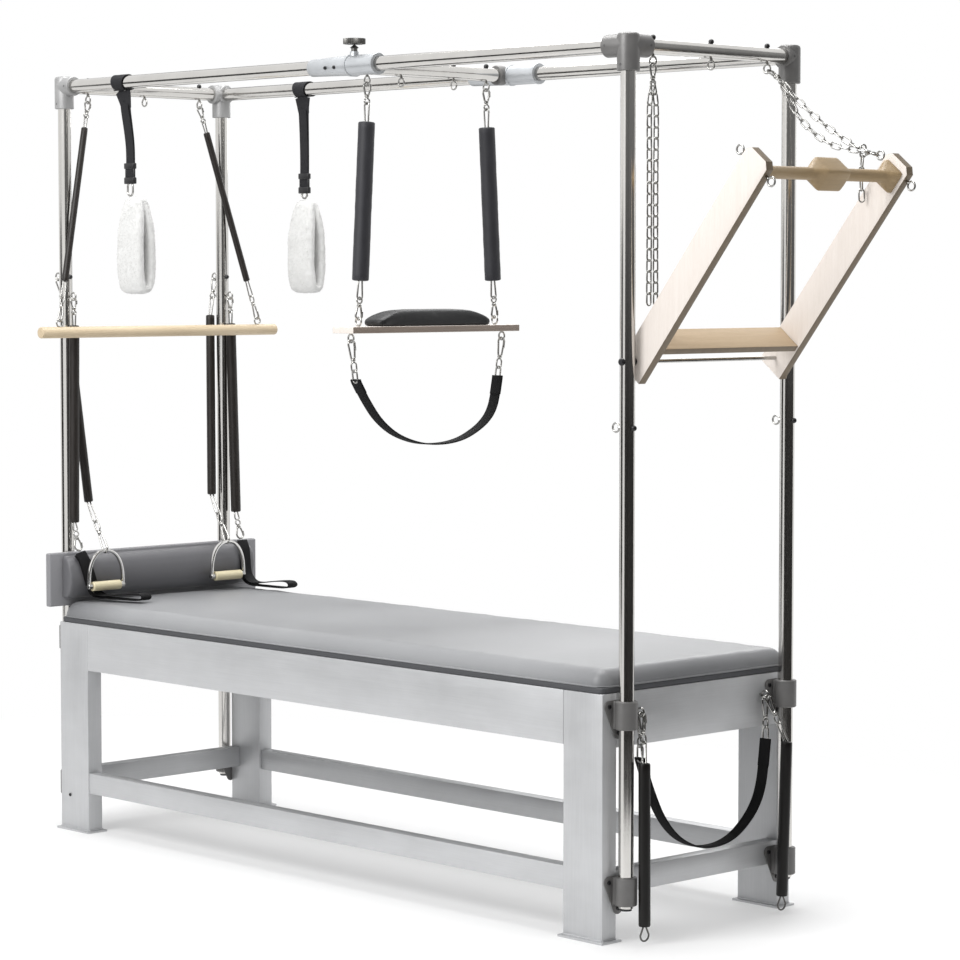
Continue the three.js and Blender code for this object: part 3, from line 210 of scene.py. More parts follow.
def addSurround():
    scene = bpy.context.scene
    scene.view_settings.view_transform = "Standard"
    scene.world = bpy.data.worlds.new("surround")
    scene.world.use_nodes = True
    tree = scene.world.node_tree
    light = tree.nodes["Background"]
    path = tree.nodes.new("ShaderNodeLightPath")
    rays = [Value(tree, path.outputs[f"Is {kind} Ray"]) for kind in ("Camera", "Glossy", "Transmission")]
    seen = rays[0] + rays[1] + rays[2]
    light.inputs["Color"].default_value = (1, 1, 1, 1)
    dim = picture["surround"]
    feed(tree, light.inputs["Strength"], seen.sum("MINIMUM", seen, 1) * (1 - dim) + dim)


def addFloor():
    paint = Finish("floorPaint", Base_Color=picture["floorColour"], Roughness=0.9)
    glow = paint.node("ShaderNodeEmission", Color=(1, 1, 1, 1), Strength=1.0)
    patch = paint.coordinates(picture["squash"])
    away = paint.node("ShaderNodeVectorMath", {"operation": "LENGTH"}, 1, Vector=patch)
    fade = paint.between(away, *picture["fade"])
    mixed = paint.tree.nodes.new("ShaderNodeMixShader")
    feed(paint.tree, mixed.inputs[0], fade * (1 - picture["wash"]) + picture["wash"])
    paint.tree.links.new(paint.shader.outputs[0], mixed.inputs[1])
    feed(paint.tree, mixed.inputs[2], glow)
    paint.tree.links.new(mixed.outputs[0], paint.tree.nodes["Material Output"].inputs["Surface"])
    far = picture["floorReach"]
    sheet("floor", [(-far, -far, 0), (far, -far, 0), (far, far, 0), (-far, far, 0)], paint)


def addLamps():
    for name, (where, aim, size, power) in lamps.items():
        lamp = bpy.data.lights.new(name, "AREA")
        lamp.size, lamp.energy = size, power
        holder = addObject(name, lamp)
        holder.location = where
        holder.rotation_euler = (Vector(aim) - Vector(where)).to_track_quat("-Z", "Y").to_euler()


def addCards():
    dark = Finish("cardDark", Roughness=1.0)
    rise = dark.between(dark.part(dark.coordinates(), 2), 1.2, 2.5)
    dark.set("Base Color", dark.blend(rise, (0.012, 0.011, 0.01, 1), (0.16, 0.16, 0.16, 1)))
    for name, ((x0, y0, low), (x1, y1, high)) in cards.items():
        card = sheet(name, [(x0, y0, low), (x1, y1, low), (x1, y1, high), (x0, y0, high)], dark)
        card.visible_camera = card.visible_diffuse = card.visible_shadow = card.visible_transmission = False


addCamera()
addSurround()
addFloor()
addLamps()
addCards()
print("camera and stage made")


# Finishes. A spot list reads: scale, detail, stretch
def plainMetal(name, dark, light, metallic, spots, gloss, grain=None):
    metal = Finish(name, Metallic=metallic)
    metal.paint(metal.noise(*spots), dark, light)
    base, reach, *shine = gloss  # gloss: base, range and spots
    speck = metal.noise(*shine)
    metal.set("Roughness", base + speck * reach)
    if grain:  # grain: strength, and spots where they aren't the gloss's
        metal.bump(metal.noise(*grain[1:]) if grain[1:] else speck, grain[0], 0.0003)
    return metal


def chrome(name, dark, light):
    return plainMetal(name, dark, light, 1.0, [40], [0.1, 0.12, 150])


def bracketPaint(name, dark, light):
    return plainMetal(name, dark, light, 0.25, [22], [0.34, 0.14, 700, 2], [0.12])


def satinAluminium(name, run):  # run: low along the brushed lines
    metal = Finish(name, Metallic=0.45)
    cloud = metal.noise(2.6, 5, rough=0.6)
    patches = metal.noise(9, 3, (0.7, 1, 1.6), 0.6)
    streak = metal.noise(24, 4, run)
    lines = metal.noise(90, 2, run)
    metal.paint(cloud * 0.5 + streak * 0.25 + patches * 0.25, "a2a3a4", "d9dadc")
    metal.set("Roughness", 0.3 + streak * 0.12 + patches * 0.14)
    metal.bump(lines + patches * 0.6, 0.1, 0.0004)
    return metal


def vinyl(name, dark, light, grain, rough=0.4, fade=0.0):  # fade: how strongly painted shade darkens the ends, leaving the middle paler
    skin = Finish(name, Specular_IOR_Level=0.5)
    edges = {"feature": "DISTANCE_TO_EDGE"}
    pores = skin.node("ShaderNodeTexVoronoi", edges, Vector=skin.coordinates(), Scale=grain)
    cloud = skin.noise(2.2, 4)
    creases = skin.noise(16, 3, (1, 2.4, 1))
    run = skin.part(skin.coordinates(), 0)
    # painted shade: the ends go darker, the head end fully and the foot end in part
    along = skin.between(run, -1.38, -1.0) * (0.3 + skin.between(run, 0.95, 0.6) * 0.7)
    skin.paint(cloud * 0.5 + pores * 0.5 + along * fade - fade / 2, dark, light)
    skin.set("Roughness", rough + cloud * 0.14 - pores * 0.05)
    skin.bump(pores * 0.5 + creases * 1.3, 0.22, 0.0012)
    return skin


def sleeveCloth(name, dark, light):
    cloth = Finish(name, Specular_IOR_Level=0.35)
    vector = cloth.coordinates(uv=True)
    across, down = cloth.part(vector, 0), cloth.part(vector, 1)
    weave = (across * 5200).wave() * (down * 3600).wave()
    gather = cloth.noise(150, 3, (1, 0.12, 1), uv=True)
    cloth.paint(gather, dark, light)
    cloth.set("Roughness", 0.3 + gather * 0.22)
    cloth.bump(weave * 0.12 + gather * 0.8, 0.25, 0.0008)
    return cloth


def padCloth(name):
    cloth = Finish(name, Sheen_Weight=0.03)
    gather = cloth.noise(60, 3, (1, 0.2, 1), uv=True)
    cloth.paint(gather, "17171b", "303036")
    cloth.set("Roughness", 0.5 + gather * 0.15)
    cloth.bump(gather + cloth.noise(2200, 2, uv=True) * 0.3, 0.2, 0.0009)
    return cloth


def webbing(name, dark, light):
    cloth = Finish(name, Specular_IOR_Level=0.25)
    vector = cloth.coordinates(uv=True)
    across, down = cloth.part(vector, 0), cloth.part(vector, 1)
    ribs = (across * 3100).wave().size()
    picks = (down * 2300 + (across * 1550).wave() * 1.4).wave().size()
    cloth.paint(picks * 0.6 + ribs * 0.3, dark, light)
    cloth.set("Roughness", 0.86 - picks * 0.12)
    cloth.bump(ribs * 0.5 + picks, 0.6, 0.0006)
    return cloth


def birch(name, dark, light, stretch=(9, 0.55, 9), turn=(0, 0, 0)):
    wood = Finish(name, Coat_Weight=0.12, Coat_Roughness=0.3)
    figure = wood.noise(9, 5, stretch, 0.55, turn=turn)
    pores = wood.noise(60, 3, stretch, 0.6, turn=turn)
    rings = (figure * 46).wave().size()
    wood.paint(figure * 0.75 + rings * 0.16 + pores * 0.25 - 0.1, dark, light)
    wood.set("Roughness", 0.42 + pores * 0.2)
    wood.bump(pores + rings * 0.3, 0.1, 0.0005)
    return wood


def fleecePile(name):
    pile = Finish(name, Sheen_Weight=0.15, Sheen_Roughness=0.6)
    curls = pile.noise(70, 4)
    pile.paint(curls, "c6c6c4", "dfdfde")
    pile.set("Roughness", 0.9 + curls * 0.1)
    pile.bump(pile.noise(260, 4), 0.22, 0.0012)
    return pile


def blackPlastic(name):
    plastic = Finish(name, Base_Color=tone("18181a"))
    plastic.set("Roughness", 0.3 + plastic.noise(200) * 0.15)
    return plastic


leaning = radians(38.7)  # of the push bar at rest
armGrain = ((9, 9, 0.55), (0, -leaning, 0))
recipes = {  # slot, the function that makes it, and its values
    "steel": ("chrome", plainMetal, "c4c2bf", "e0deda", 1.0,
              [9, 4, (1, 1, 0.25)], [0.09, 0.1, 60, 2, (1, 1, 0.2)]),
    "chrome": ("chrome", chrome, "9b9a97", "c6c5c2"),
    "bowChrome": ("chrome", chrome, "cfcecc", "ebeae8"),
    "aluminium": ("aluminium", satinAluminium, (14, 14, 0.35)),
    "aluminiumLong": ("aluminium", satinAluminium, (0.35, 14, 14)),
    "aluminiumAcross": ("aluminium", satinAluminium, (14, 0.35, 14)),
    "bracket": ("bracket_grey", bracketPaint, "5f5e5d", "757473"),
    "fittingPale": ("bracket_grey", bracketPaint, "8b8b8b", "a6a6a6"),
    "alloy": ("cast_alloy", plainMetal, "a6a9ac", "c8cbce", 0.55, [18, 4], [0.26, 0.2, 90], [0.1, 420, 2]),
    # the mattress's last value, 0.7, is the strength of its painted end shade
    "mattressVinyl": ("grey_vinyl", vinyl, "646567", "a5a6a8", 700, 0.34, 0.7),
    "boardVinyl": ("board_vinyl", vinyl, "3d3e41", "505154", 700, 0.5),
    "headVinyl": ("head_vinyl", vinyl, "5a5a5d", "727275", 800),
    "headEdgeVinyl": ("head_vinyl", vinyl, "7d7d80", "9a9a9d", 800),
    "blackVinyl": ("black_vinyl", vinyl, "08090a", "19191b", 900),
    "sleeve": ("sleeve", sleeveCloth, "14110f", "2c2724"),
    "blackSleeve": ("webbing", sleeveCloth, "050403", "110e0c"),
    "padSleeve": ("sleeve", padCloth),
    "webbing": ("webbing", webbing, "020203", "0e0e10"),
    "strapGrey": ("strap_grey", webbing, "131315", "2c2c2f"),
    "woodAcross": ("wood", birch, "b09c7c", "d9c8ac"),
    "woodGrip": ("wood", birch, "bdb18c", "e3dabd"),
    "woodEdge": ("wood", birch, "7a6648", "a48c67"),
    "woodShelf": ("wood", birch, "a38b6d", "c9b394"),
    "woodSide": ("wood", birch, "6b5f57", "938579", (30, 0.55, 30)),
    "woodArm": ("wood", birch, "d5cbc2", "ebe4de", *armGrain),
    "woodArmEdge": ("wood", birch, "55493a", "7c6c55", *armGrain),
    "fleece": ("fleece", fleecePile),
    "knurled": ("chrome", plainMetal, "5c5b59", "7b7a77", 0.85, [60], [0.34, 0.15, 300]),
    "blackPlastic": ("strap_grey", blackPlastic),
}
finishes = {name: (maker(f"{name}Finish", *values), slot) for name, (slot, maker, *values) in recipes.items()}
print("finishes made:", len(finishes))


# Shapes, in millimetres from the table's middle
class Shape:
    def __init__(self):
        self.points, self.faces, self.marks, self.maps, self.used = [], [], [], [], []

    def mark(self, finish):
        if finish not in self.used:
            self.used.append(finish)
        return self.used.index(finish)

    def add(self, made, finish, edge=None):  # edge: another finish, and which normals take it
        points, faces, *maps = made
        base, plain = len(self.points), self.mark(finish)
        self.points += points
        self.faces += [[base + corner for corner in face] for face in faces]
        self.maps += maps[0] if maps else [None] * len(faces)
        for face in faces:
            a, b, c = (Vector(points[corner]) for corner in face[:3])
            other = edge and edge[1]((b - a).cross(c - a).normalized())
            self.marks.append(self.mark(edge[0]) if other else plain)
        return self

    def make(self, node, body="table", name=None, sharp=38, slot=None, ready=True):
        name = name or camel(node)
        mesh = bpy.data.meshes.new(name)
        mesh.from_pydata([place(p) for p in self.points], [], self.faces)
        for finish in self.used:
            mesh.materials.append(finishes[finish][0].material)
        mesh.polygons.foreach_set("material_index", self.marks)
        if any(entry is not None for entry in self.maps):
            layer = mesh.uv_layers.new(name="run").data
            for polygon, entry in zip(mesh.polygons, self.maps):
                for corner, uv in zip(polygon.loop_indices, entry or []):
                    layer[corner].uv = uv
        mesh.update()
        mesh.validate()
        mesh.shade_smooth()
        mesh.set_sharp_from_angle(angle=radians(sharp))
        piece = addObject(name, mesh)
        if ready:
            settle(piece, body, node)
        return piece


def settle(piece, body, node):
    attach(piece, body)
    if node:
        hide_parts(node)


def circle(radius, count=12):
    angles = [2 * pi * n / count for n in range(count)]
    return [(radius * cos(angle), radius * sin(angle)) for angle in angles]


def rounded(width, depth, corner, drawnIn=0, count=2):
    radius = max(corner - drawnIn, corner / 4)
    points = []
    for quarter, (signX, signY) in enumerate(((1, 1), (-1, 1), (-1, -1), (1, -1))):
        for n in range(count + 1):
            angle = pi / 2 * (quarter + n / count)
            points.append((signX * (width / 2 - drawnIn - radius) + radius * cos(angle),
                           signY * (depth / 2 - drawnIn - radius) + radius * sin(angle)))
    return points


def bulge(value, power):
    return copysign(abs(value) ** power, value)


def smooth(points, steps=8):
    points = [Vector(p) for p in points]
    padded = [points[0]] + points + [points[-1]]
    route = []
    for a, b, c, d in zip(padded, padded[1:], padded[2:], padded[3:]):
        for step in range(steps):
            t = step / steps
            square, cube = 2 * a - 5 * b + 4 * c - d, 3 * b - a - 3 * c + d
            route.append(0.5 * (2 * b + (c - a) * t + square * t * t + cube * t ** 3))
    return route + [points[-1]]


def turned(profile, start, direction, count=32):
    start, direction = Vector(start), Vector(direction).normalized()
    turn = zAxis.rotation_difference(direction).to_matrix()
    points, rings, faces, maps = [], [], [], []
    for radius, distance in profile:
        if radius < 1e-6:
            rings.append([len(points)] * count)
            points.append(start + direction * distance)
            continue
        rings.append(list(range(len(points), len(points) + count)))
        points += [start + turn @ Vector((x, y, distance)) for x, y in circle(radius, count)]
    girth = max(radius for radius, _ in profile) * 2 * pi / 1000
    for row, (low, high) in enumerate(zip(rings, rings[1:])):
        v0, v1 = profile[row][1] / 1000, profile[row + 1][1] / 1000
        for n in range(count):
            m = (n + 1) % count
            u0, u1 = girth * n / count, girth * (n + 1) / count
            corners = {low[n]: (u0, v0), low[m]: (u1, v0), high[m]: (u1, v1), high[n]: (u0, v1)}
            corners[low[n]] = (u0, v0)  # a tip is one point, so its face has three corners
            if len(corners) > 2:
                faces.append(list(corners))
                maps.append(list(corners.values()))
    return points, faces, maps


def skinFaces(rows, count, closed=False, wrap=True):  # four-sided faces between rows of points
    faces = []
    for row in range(rows if closed else rows - 1):
        here, there = row * count, (row + 1) % rows * count
        for n in range(count if wrap else count - 1):
            m = (n + 1) % count
            faces.append([here + n, here + m, there + m, there + n])
    return faces


def caps(rows, count):
    return [list(range(count))[::-1], [(rows - 1) * count + n for n in range(count)]]


def swept(route, outline, across, closed=False):
    route, across = [Vector(p) for p in route], Vector(across)
    count, corners = len(route), len(outline)
    points, lengths, edge = [], [0], [0]
    for n, point in enumerate(route):
        ahead = route[(n + 1) % count if closed else min(n + 1, count - 1)]
        behind = route[n - 1 if closed else max(n - 1, 0)]
        run = (ahead - behind).normalized()
        side = (across - run * across.dot(run)).normalized()
        face = run.cross(side)
        points += [point + side * a + face * b for a, b in outline]
        lengths.append(lengths[-1] + (route[(n + 1) % count] - point).length)
    for a, b in zip(outline, outline[1:] + outline[:1]):
        edge.append(edge[-1] + hypot(a[0] - b[0], a[1] - b[1]))
    faces, maps = skinFaces(count, corners, closed), []
    for row in range(len(faces) // corners):
        v0, v1 = lengths[row] / 1000, lengths[row + 1] / 1000
        for n in range(corners):
            u0, u1 = edge[n] / 1000, edge[n + 1] / 1000
            maps.append([(u0, v0), (u1, v0), (u1, v1), (u0, v1)])
    if not closed:
        faces += caps(count, corners)
        maps += [[(0, 0)] * corners, [(0, 0)] * corners]
    return points, faces, maps


def barrel(radius, length, chamfer, bore=0):
    return [(bore, 0), (radius - chamfer, 0), (radius, chamfer),
            (radius, length - chamfer), (radius - chamfer, length), (bore, length)]


def rod(start, end, radius, chamfer=1.0, count=32):
    along = Vector(end) - Vector(start)
    return turned(barrel(radius, along.length, min(chamfer, radius / 2)), start, along, count)


def ring(centre, normal, radius, wire, count=28):
    normal = Vector(normal).normalized()
    first = normal.orthogonal().normalized()
    second = normal.cross(first)
    route = [Vector(centre) + first * x + second * y for x, y in circle(radius, count)]
    return swept(route, circle(wire, 10), normal, True)


def loop(a, b, half, wire, across, foot=None, count=10):  # a wire loop round two points
    a, b = Vector(a), Vector(b)
    down = (b - a).normalized()
    side = (Vector(across) - down * Vector(across).dot(down)).normalized()
    foot = half if foot is None else foot
    angles = [pi * n / count for n in range(count + 1)]
    route = [a + down * half - down * half * sin(angle) - side * half * cos(angle) for angle in angles]
    route += [b - down * foot + down * foot * sin(angle) + side * foot * cos(angle) for angle in angles]
    return swept(route, circle(wire, 10), down.cross(side), True)


def snapHook(shape, top, foot, across, width, wire):
    top, foot = Vector(top), Vector(foot)
    down = (foot - top).normalized()
    length = (foot - top).length
    side = (Vector(across) - down * Vector(across).dot(down)).normalized()
    hookFoot = top + down * length * 0.6
    shape.add(loop(top, hookFoot, width, wire, side, width * 0.62), "chrome")
    gate = top + side * (width - wire * 0.1) + down * (width * 0.6)
    shape.add(rod(gate, gate + down * length * 0.26, wire * 1.25, 0.8, 12), "chrome")
    swivel = hookFoot - down * wire
    profile = [(0, 0), (4.2, 0), (6.6, 2.5), (6.6, 6), (4.6, 8.5), (5.6, 10), (5.6, 12), (0, 12.5)]
    shape.add(turned(profile, swivel, down, 16), "chrome")
    shape.add(loop(swivel + down * 10, foot, min(9, length * 0.16), wire * 0.85, across), "chrome")


def fromBmesh(work, matrix=None):
    work.verts.ensure_lookup_table()
    points = [matrix @ v.co if matrix else v.co.copy() for v in work.verts]
    for index, vertex in enumerate(work.verts):
        vertex.index = index
    faces = [[v.index for v in face.verts] for face in work.faces]
    work.free()
    return points, faces


def block(low, high, corner=2.0, steps=2, matrix=None):
    work = bmesh.new()
    bmesh.ops.create_cube(work, size=1)
    size, middle = Vector(high) - Vector(low), (Vector(high) + Vector(low)) / 2
    for vertex in work.verts:
        vertex.co = vertex.co * size + middle
    bmesh.ops.bevel(work, geom=work.edges[:], offset=corner, segments=steps, profile=0.5, affect="EDGES")
    return fromBmesh(work, matrix)


def extruded(outline, thick, matrix, corner, steps=2):
    work = bmesh.new()
    face = work.faces.new([work.verts.new((x, y, 0)) for x, y in outline])
    for entry in bmesh.ops.extrude_face_region(work, geom=[face])["geom"]:
        if isinstance(entry, bmesh.types.BMVert):
            entry.co.z += thick
    bmesh.ops.recalc_face_normals(work, faces=work.faces[:])
    rim = [e for e in work.edges if abs(e.verts[0].co.z - e.verts[1].co.z) < 1e-6]
    bmesh.ops.bevel(work, geom=rim, offset=corner, segments=steps, profile=0.5, affect="EDGES")
    return fromBmesh(work, matrix)


def basis(origin, first, second):
    first, second = Vector(first), Vector(second)
    turn = Matrix((first, second, first.cross(second))).transposed().to_4x4()
    return Matrix.Translation(Vector(origin)) @ turn


def screwHead(shape, where, direction, radius, height):
    profile = [(0, -1), (radius, -1), (radius, height - 1.4), (radius - 1.2, height), (radius * 0.5, height),
               (radius * 0.42, height - 1.8), (0, height - 1.8)]
    shape.add(turned(profile, where, direction, 16), "blackPlastic")


eye = {"ring": 11, "wire": 2.5, "shank": 3.5, "foot": 1.4, "nut": 7, "drop": 35, "hookGap": 3.7, "stand": 8}
hookDrop = eye["ring"] - eye["wire"] - eye["hookGap"]


def eyeBolt(shape, centre, towardsNut, nutDistance, holeAxis, nut=True):
    centre, towardsNut = Vector(centre), Vector(towardsNut)
    shape.add(ring(centre, holeAxis, eye["ring"], eye["wire"]), "chrome")
    shank, length, radius = eye["shank"], nutDistance - eye["ring"], eye["nut"]
    foot = shank + eye["foot"]
    profile = [(0, 0), (foot, 0), (foot, 3), (shank, 5), (shank, length), (0, length + 1)]
    shape.add(turned(profile, centre + towardsNut * (eye["ring"] - 1), towardsNut, 16), "chrome")
    if nut:
        angles = [pi * n / 10 for n in range(1, 10)]
        ball = [(radius * sin(angle), radius * (1 - cos(angle))) for angle in angles]
        start = centre + towardsNut * (nutDistance - radius)
        shape.add(turned([(0, 0)] + ball + [(0, 2 * radius)], start, towardsNut, 20), "blackPlastic")


# Table
table = {"length": 2240, "width": 700, "top": 617, "apron": 135, "wall": 50, "leg": 135, "edge": 2.2,
         "footMargin": 10, "footThick": 6, "weld": 2.4, "stretcher": (118, 178, 40, 2), "gap": 0.4,
         "endEyes": (17, 232, 565), "screw": (-1075, 104.6)}
halfLength, halfWidth = table["length"] / 2, table["width"] / 2
legInner = halfLength - table["leg"]


def endFrame(end, side):
    shape = Shape()
    wall, top, margin, foot = table["wall"], table["top"], table["footMargin"], table["footThick"]

    def span(x0, x1, y0, y1, z0, z1, edge=table["edge"], finish="aluminium"):
        x0, x1 = sorted((side * x0, side * x1))
        shape.add(block((x0, y0, z0), (x1, y1, z1), edge), finish)

    for across in (-1, 1):
        y0, y1 = sorted((across * halfWidth, across * (halfWidth - wall)))
        span(legInner, halfLength, y0, y1, 2, top)
        span(legInner - margin, halfLength + margin, y0 - margin, y1 + margin, 0, foot, 1.2)
        route = ((legInner, y0), (halfLength, y0), (halfLength, y1), (legInner, y1))
        corners = [(side * x, y, foot + 1.5) for x, y in route]  # the weld bead round the leg's foot
        for a, b in zip(corners, corners[1:] + corners[:1]):
            shape.add(rod(a, b, table["weld"], 1, 8), "aluminium")
    inner = halfWidth - wall + 1
    low, high, thick, _ = table["stretcher"]
    span(halfLength - wall, halfLength, -inner, inner, top - table["apron"], top, finish="aluminiumAcross")
    span(halfLength - thick, halfLength, -inner, inner, low, high, finish="aluminiumAcross")
    if side > 0:
        out, y, z = table["endEyes"]
        for across in (-1, 1):
            eyeBolt(shape, (halfLength + out, across * y, z), -xAxis, 28, yAxis, False)
    else:
        screwHead(shape, (table["screw"][0], -halfWidth, table["screw"][1]), -yAxis, 5, 3)
    shape.make(f"end_frame_{end}")


def sideBar(node, side, outer, wall, low, high, edge):
    reach = legInner - table["gap"]
    y0, y1 = sorted((side * outer, side * (outer - wall)))
    Shape().add(block((-reach, y0, low), (reach, y1, high), edge), "aluminiumLong").make(node)


for end, side in ends.items():
    endFrame(end, side)
for row, side in sides.items():
    low, high, wall, inset = table["stretcher"]
    sideBar(f"apron_{row}", side, halfWidth, table["wall"], table["top"] - table["apron"], table["top"], 1.4)
    sideBar(f"stretcher_{row}", side, halfWidth - inset, wall, low, high, 1.8)
print("table made")

# Board, mattress and head rest
pad = {"board": 21, "edge": 38, "crown": 10, "corner": 15, "crease": 1.6, "cover": 7, "inset": 6,
       "cell": (15, 13), "creases": {"from": 40, "wide": 45, "along": 52, "into": 240}, "gap": 0.6,
       "sway": {"along": 210, "across": 170, "share": 0.6}, "dip": 0.8, "rollSteps": 9,
       "welt": {"wire": 2.4, "high": 2.6, "inset": 1.4}}


def baseBoard():
    outline = rounded(table["length"] - pad["inset"], table["width"] - pad["inset"], pad["corner"], 0, 6)
    lift = Matrix.Translation((0, 0, table["top"] + 0.3))
    Shape().add(extruded(outline, pad["board"] - pad["cover"], lift, 2.5, 3), "boardVinyl").make("base_board")


def edgePlaces(half, edge, step):  # places across the pad, and how far each is into the rolled edge
    count = pad["rollSteps"]
    rolled = [sin(pi / 2 * n / count) for n in range(count, 0, -1)]
    flat = half - edge
    count = 2 * round(flat / step)
    middle = [(flat * (2 * n / count - 1), 0) for n in range(count + 1)]
    return [(-flat - edge * t, t) for t in rolled] + middle + [(flat + edge * t, t) for t in rolled[::-1]]


def mattress():
    low = table["top"] + pad["board"] + pad["gap"] - pad["cover"]
    edge, rise = pad["edge"], pad["edge"] + pad["cover"]
    halfX, halfY = (table["length"] - pad["inset"]) / 2, (table["width"] - pad["inset"]) / 2
    columns, rows = edgePlaces(halfX, edge, pad["cell"][0]), edgePlaces(halfY, edge, pad["cell"][1])
    fold, wave, welt = pad["creases"], pad["sway"], pad["welt"]
    points = []
    for x, intoX in columns:
        for y, intoY in rows:
            a, b = intoX * sqrt(1 - intoY ** 2 / 2), intoY * sqrt(1 - intoX ** 2 / 2)
            fall = sqrt(max(0, 1 - a * a - b * b))
            crown = pad["crown"] * (1 - (y / halfY) ** 2) * (1 - (x / halfX) ** 6)
            fromEdge = min(halfX - abs(x), halfY - abs(y))
            along = x if halfY - abs(y) < halfX - abs(x) else y
            pull = exp(-((fromEdge - fold["from"]) / fold["wide"]) ** 2)
            crease = noise(Vector((along / fold["along"], fromEdge / fold["into"], 3.1))) * pull
            sway = noise(Vector((x / wave["along"], y / wave["across"], 7.7))) * wave["share"]
            outX = copysign(halfX - edge + edge * a, x) if a else x
            outY = copysign(halfY - edge + edge * b, y) if b else y
            high = rise + crown + (crease + sway) * pad["crease"] - pad["dip"]
            points.append(Vector((outX, outY, low + high * fall)))
    length, wide = len(columns), len(rows)
    faces = [[a, d, c, b] for a, b, c, d in skinFaces(length, wide, wrap=False)]
    last = (length - 1) * wide
    rim = [n * wide for n in range(length)] + [last + m for m in range(1, wide)]
    rim += [n * wide + wide - 1 for n in range(length - 2, -1, -1)] + list(range(wide - 2, 0, -1))
    shape = Shape().add((points, faces + [rim[::-1]]), "mattressVinyl")
    border = rounded(2 * halfX - welt["inset"], 2 * halfY - welt["inset"], edge, 0, 8)
    route = [Vector((x, y, low + welt["high"])) for x, y in border]
    shape.add(swept(route, circle(welt["wire"], 8), zAxis, True), "mattressVinyl")
    shape.make("mattress", name="mattressPad", sharp=60)


head = {"halfWidth": 393, "low": 663, "high": 821, "back": -1130.6, "thick": 21.7, "margin": 42, "depth": 47,
        "lift": 6, "cloth": (0.006, 3.0, 0.0012), "steps": 22, "fullness": 0.8, "rise": 1.2,
        "rounding": {"from": 0.94, "over": 0.06, "loss": 0.09}}
headFront = head["back"] + head["thick"]


def headBoard():
    half = head["halfWidth"]
    board = block((head["back"], -half, head["low"]), (headFront - 0.3, half, head["high"]), 5, 4)
    Shape().add(board, "headEdgeVinyl").make("head_board", sharp=60)


clothValues = {"quality": 6, "mass": 0.35, "tension_stiffness": 18, "compression_stiffness": 18,
               "bending_stiffness": 0.6, "use_pressure": True, "shrink_min": -0.004}
clothFrames = 20


def swell(piece, voxel, pressure, cap):  # cap: the furthest that the cloth may move a point
    scene = bpy.context.scene
    remesh = piece.modifiers.new("remesh", "REMESH")
    remesh.mode, remesh.voxel_size = "VOXEL", voxel
    bake(piece)
    rest = [v.co.copy() for v in piece.data.vertices]
    cloth = piece.modifiers.new("cloth", "CLOTH")
    for label, value in clothValues.items():
        setattr(cloth.settings, label, value)
    cloth.settings.uniform_pressure_force = pressure
    cloth.settings.effector_weights.gravity = 0
    for timed in (cloth.point_cache, scene):
        timed.frame_start, timed.frame_end = 1, clothFrames
    for n in range(1, clothFrames + 1):
        scene.frame_set(n)
    bake(piece)
    for vertex, start in zip(piece.data.vertices, rest):
        move = vertex.co - start
        if move.length > cap:
            vertex.co = start + move * (cap / move.length)
    scene.frame_set(1)


def evaluated(piece):
    graph = bpy.context.evaluated_depsgraph_get()
    graph.update()
    return bpy.data.meshes.new_from_object(piece.evaluated_get(graph))


def bake(piece):
    fresh, old = evaluated(piece), piece.data
    piece.modifiers.clear()
    piece.data = fresh
    bpy.data.meshes.remove(old)


def subdivide(piece):
    finer = piece.modifiers.new("finer", "SUBSURF")
    finer.levels = finer.render_levels = 1
    bake(piece)
    piece.data.shade_smooth()


def recalculate(piece):
    work = bmesh.new()
    work.from_mesh(piece.data)
    bmesh.ops.recalc_face_normals(work, faces=work.faces[:])
    work.to_mesh(piece.data)
    work.free()


def headBolster():
    low = table["top"] + pad["board"] + pad["gap"] + pad["edge"] + head["lift"] + 1
    half, reach = head["halfWidth"] - head["margin"], (head["high"] - head["lift"] - low) / 2
    ending, steps = head["rounding"], head["steps"]
    roundEnd = [ending["from"], 0.975, 0.992, 1]
    columns = [-n for n in roundEnd[::-1]] + [n / 12 for n in range(-11, 12)] + roundEnd
    points = []
    for column in columns:
        end = 1 - max(0, (abs(column) - ending["from"]) / ending["over"]) ** 3 * ending["loss"]
        for k in range(steps + 1):
            angle = pi * k / steps
            out = (head["depth"] - head["rise"]) * end * sin(angle) ** head["fullness"]
            high = low + reach - reach * end * cos(angle)
            points.append(Vector((headFront + 0.3 + out, half * column, high)))
    faces = [[a, d, c, b] for a, b, c, d in skinFaces(len(columns), steps + 1)]
    faces += [cap[::-1] for cap in caps(len(columns), steps + 1)]
    piece = Shape().add((points, faces), "headVinyl").make("head_bolster", sharp=60, ready=False)
    recalculate(piece)
    swell(piece, *head["cloth"])
    subdivide(piece)
    settle(piece, "table", "head_bolster")


baseBoard()
mattress()
headBoard()
headBolster()
print("board, mattress and head rest made")

# Tube frame
tube = {"x": 1150, "y": 296.5, "rail": 2195, "radius": 19, "low": 88, "overlap": 25, "sunk": 24,
        "plug": {"radius": 15, "foot": 6, "top": 1}, "eyes": (-210, 0, 210),
        "midEyes": {"left": [(-1, 1636), (1, 1578)], "right": [(-1, 1269)]}}
collar = {"radius": 28, "length": 70, "upper": 600, "lower": 165, "web": 12, "webHalf": 22}
flange = {"thick": 3, "corner": 15, "reach": 32.5, "high": 14, "low": 81, "gap": 0.3, "rim": 0.7,
          "screw": (6, 3)}
fitting = {"radius": 28, "lip": 4, "grub": (14, 3.6, 0.9), "clear": 0.4, "bevel": 1.5, "sunk": 0.6,
           "below": [(0, -30), (16, -30), (23, -29), (26.5, -26), (28, -21)],
           "beside": [(0, -27.5), (10, -26.4), (18, -21.4), (24.5, -13.5), (27.4, -5), (28, 0)],
           "near_right": (69, 65, 62), "far_right": (30, 27, 68),
           "near_left": (50, 30, 65), "far_left": (27, 39, 70)}
postEye = tube["radius"] + eye["ring"] + eye["stand"]


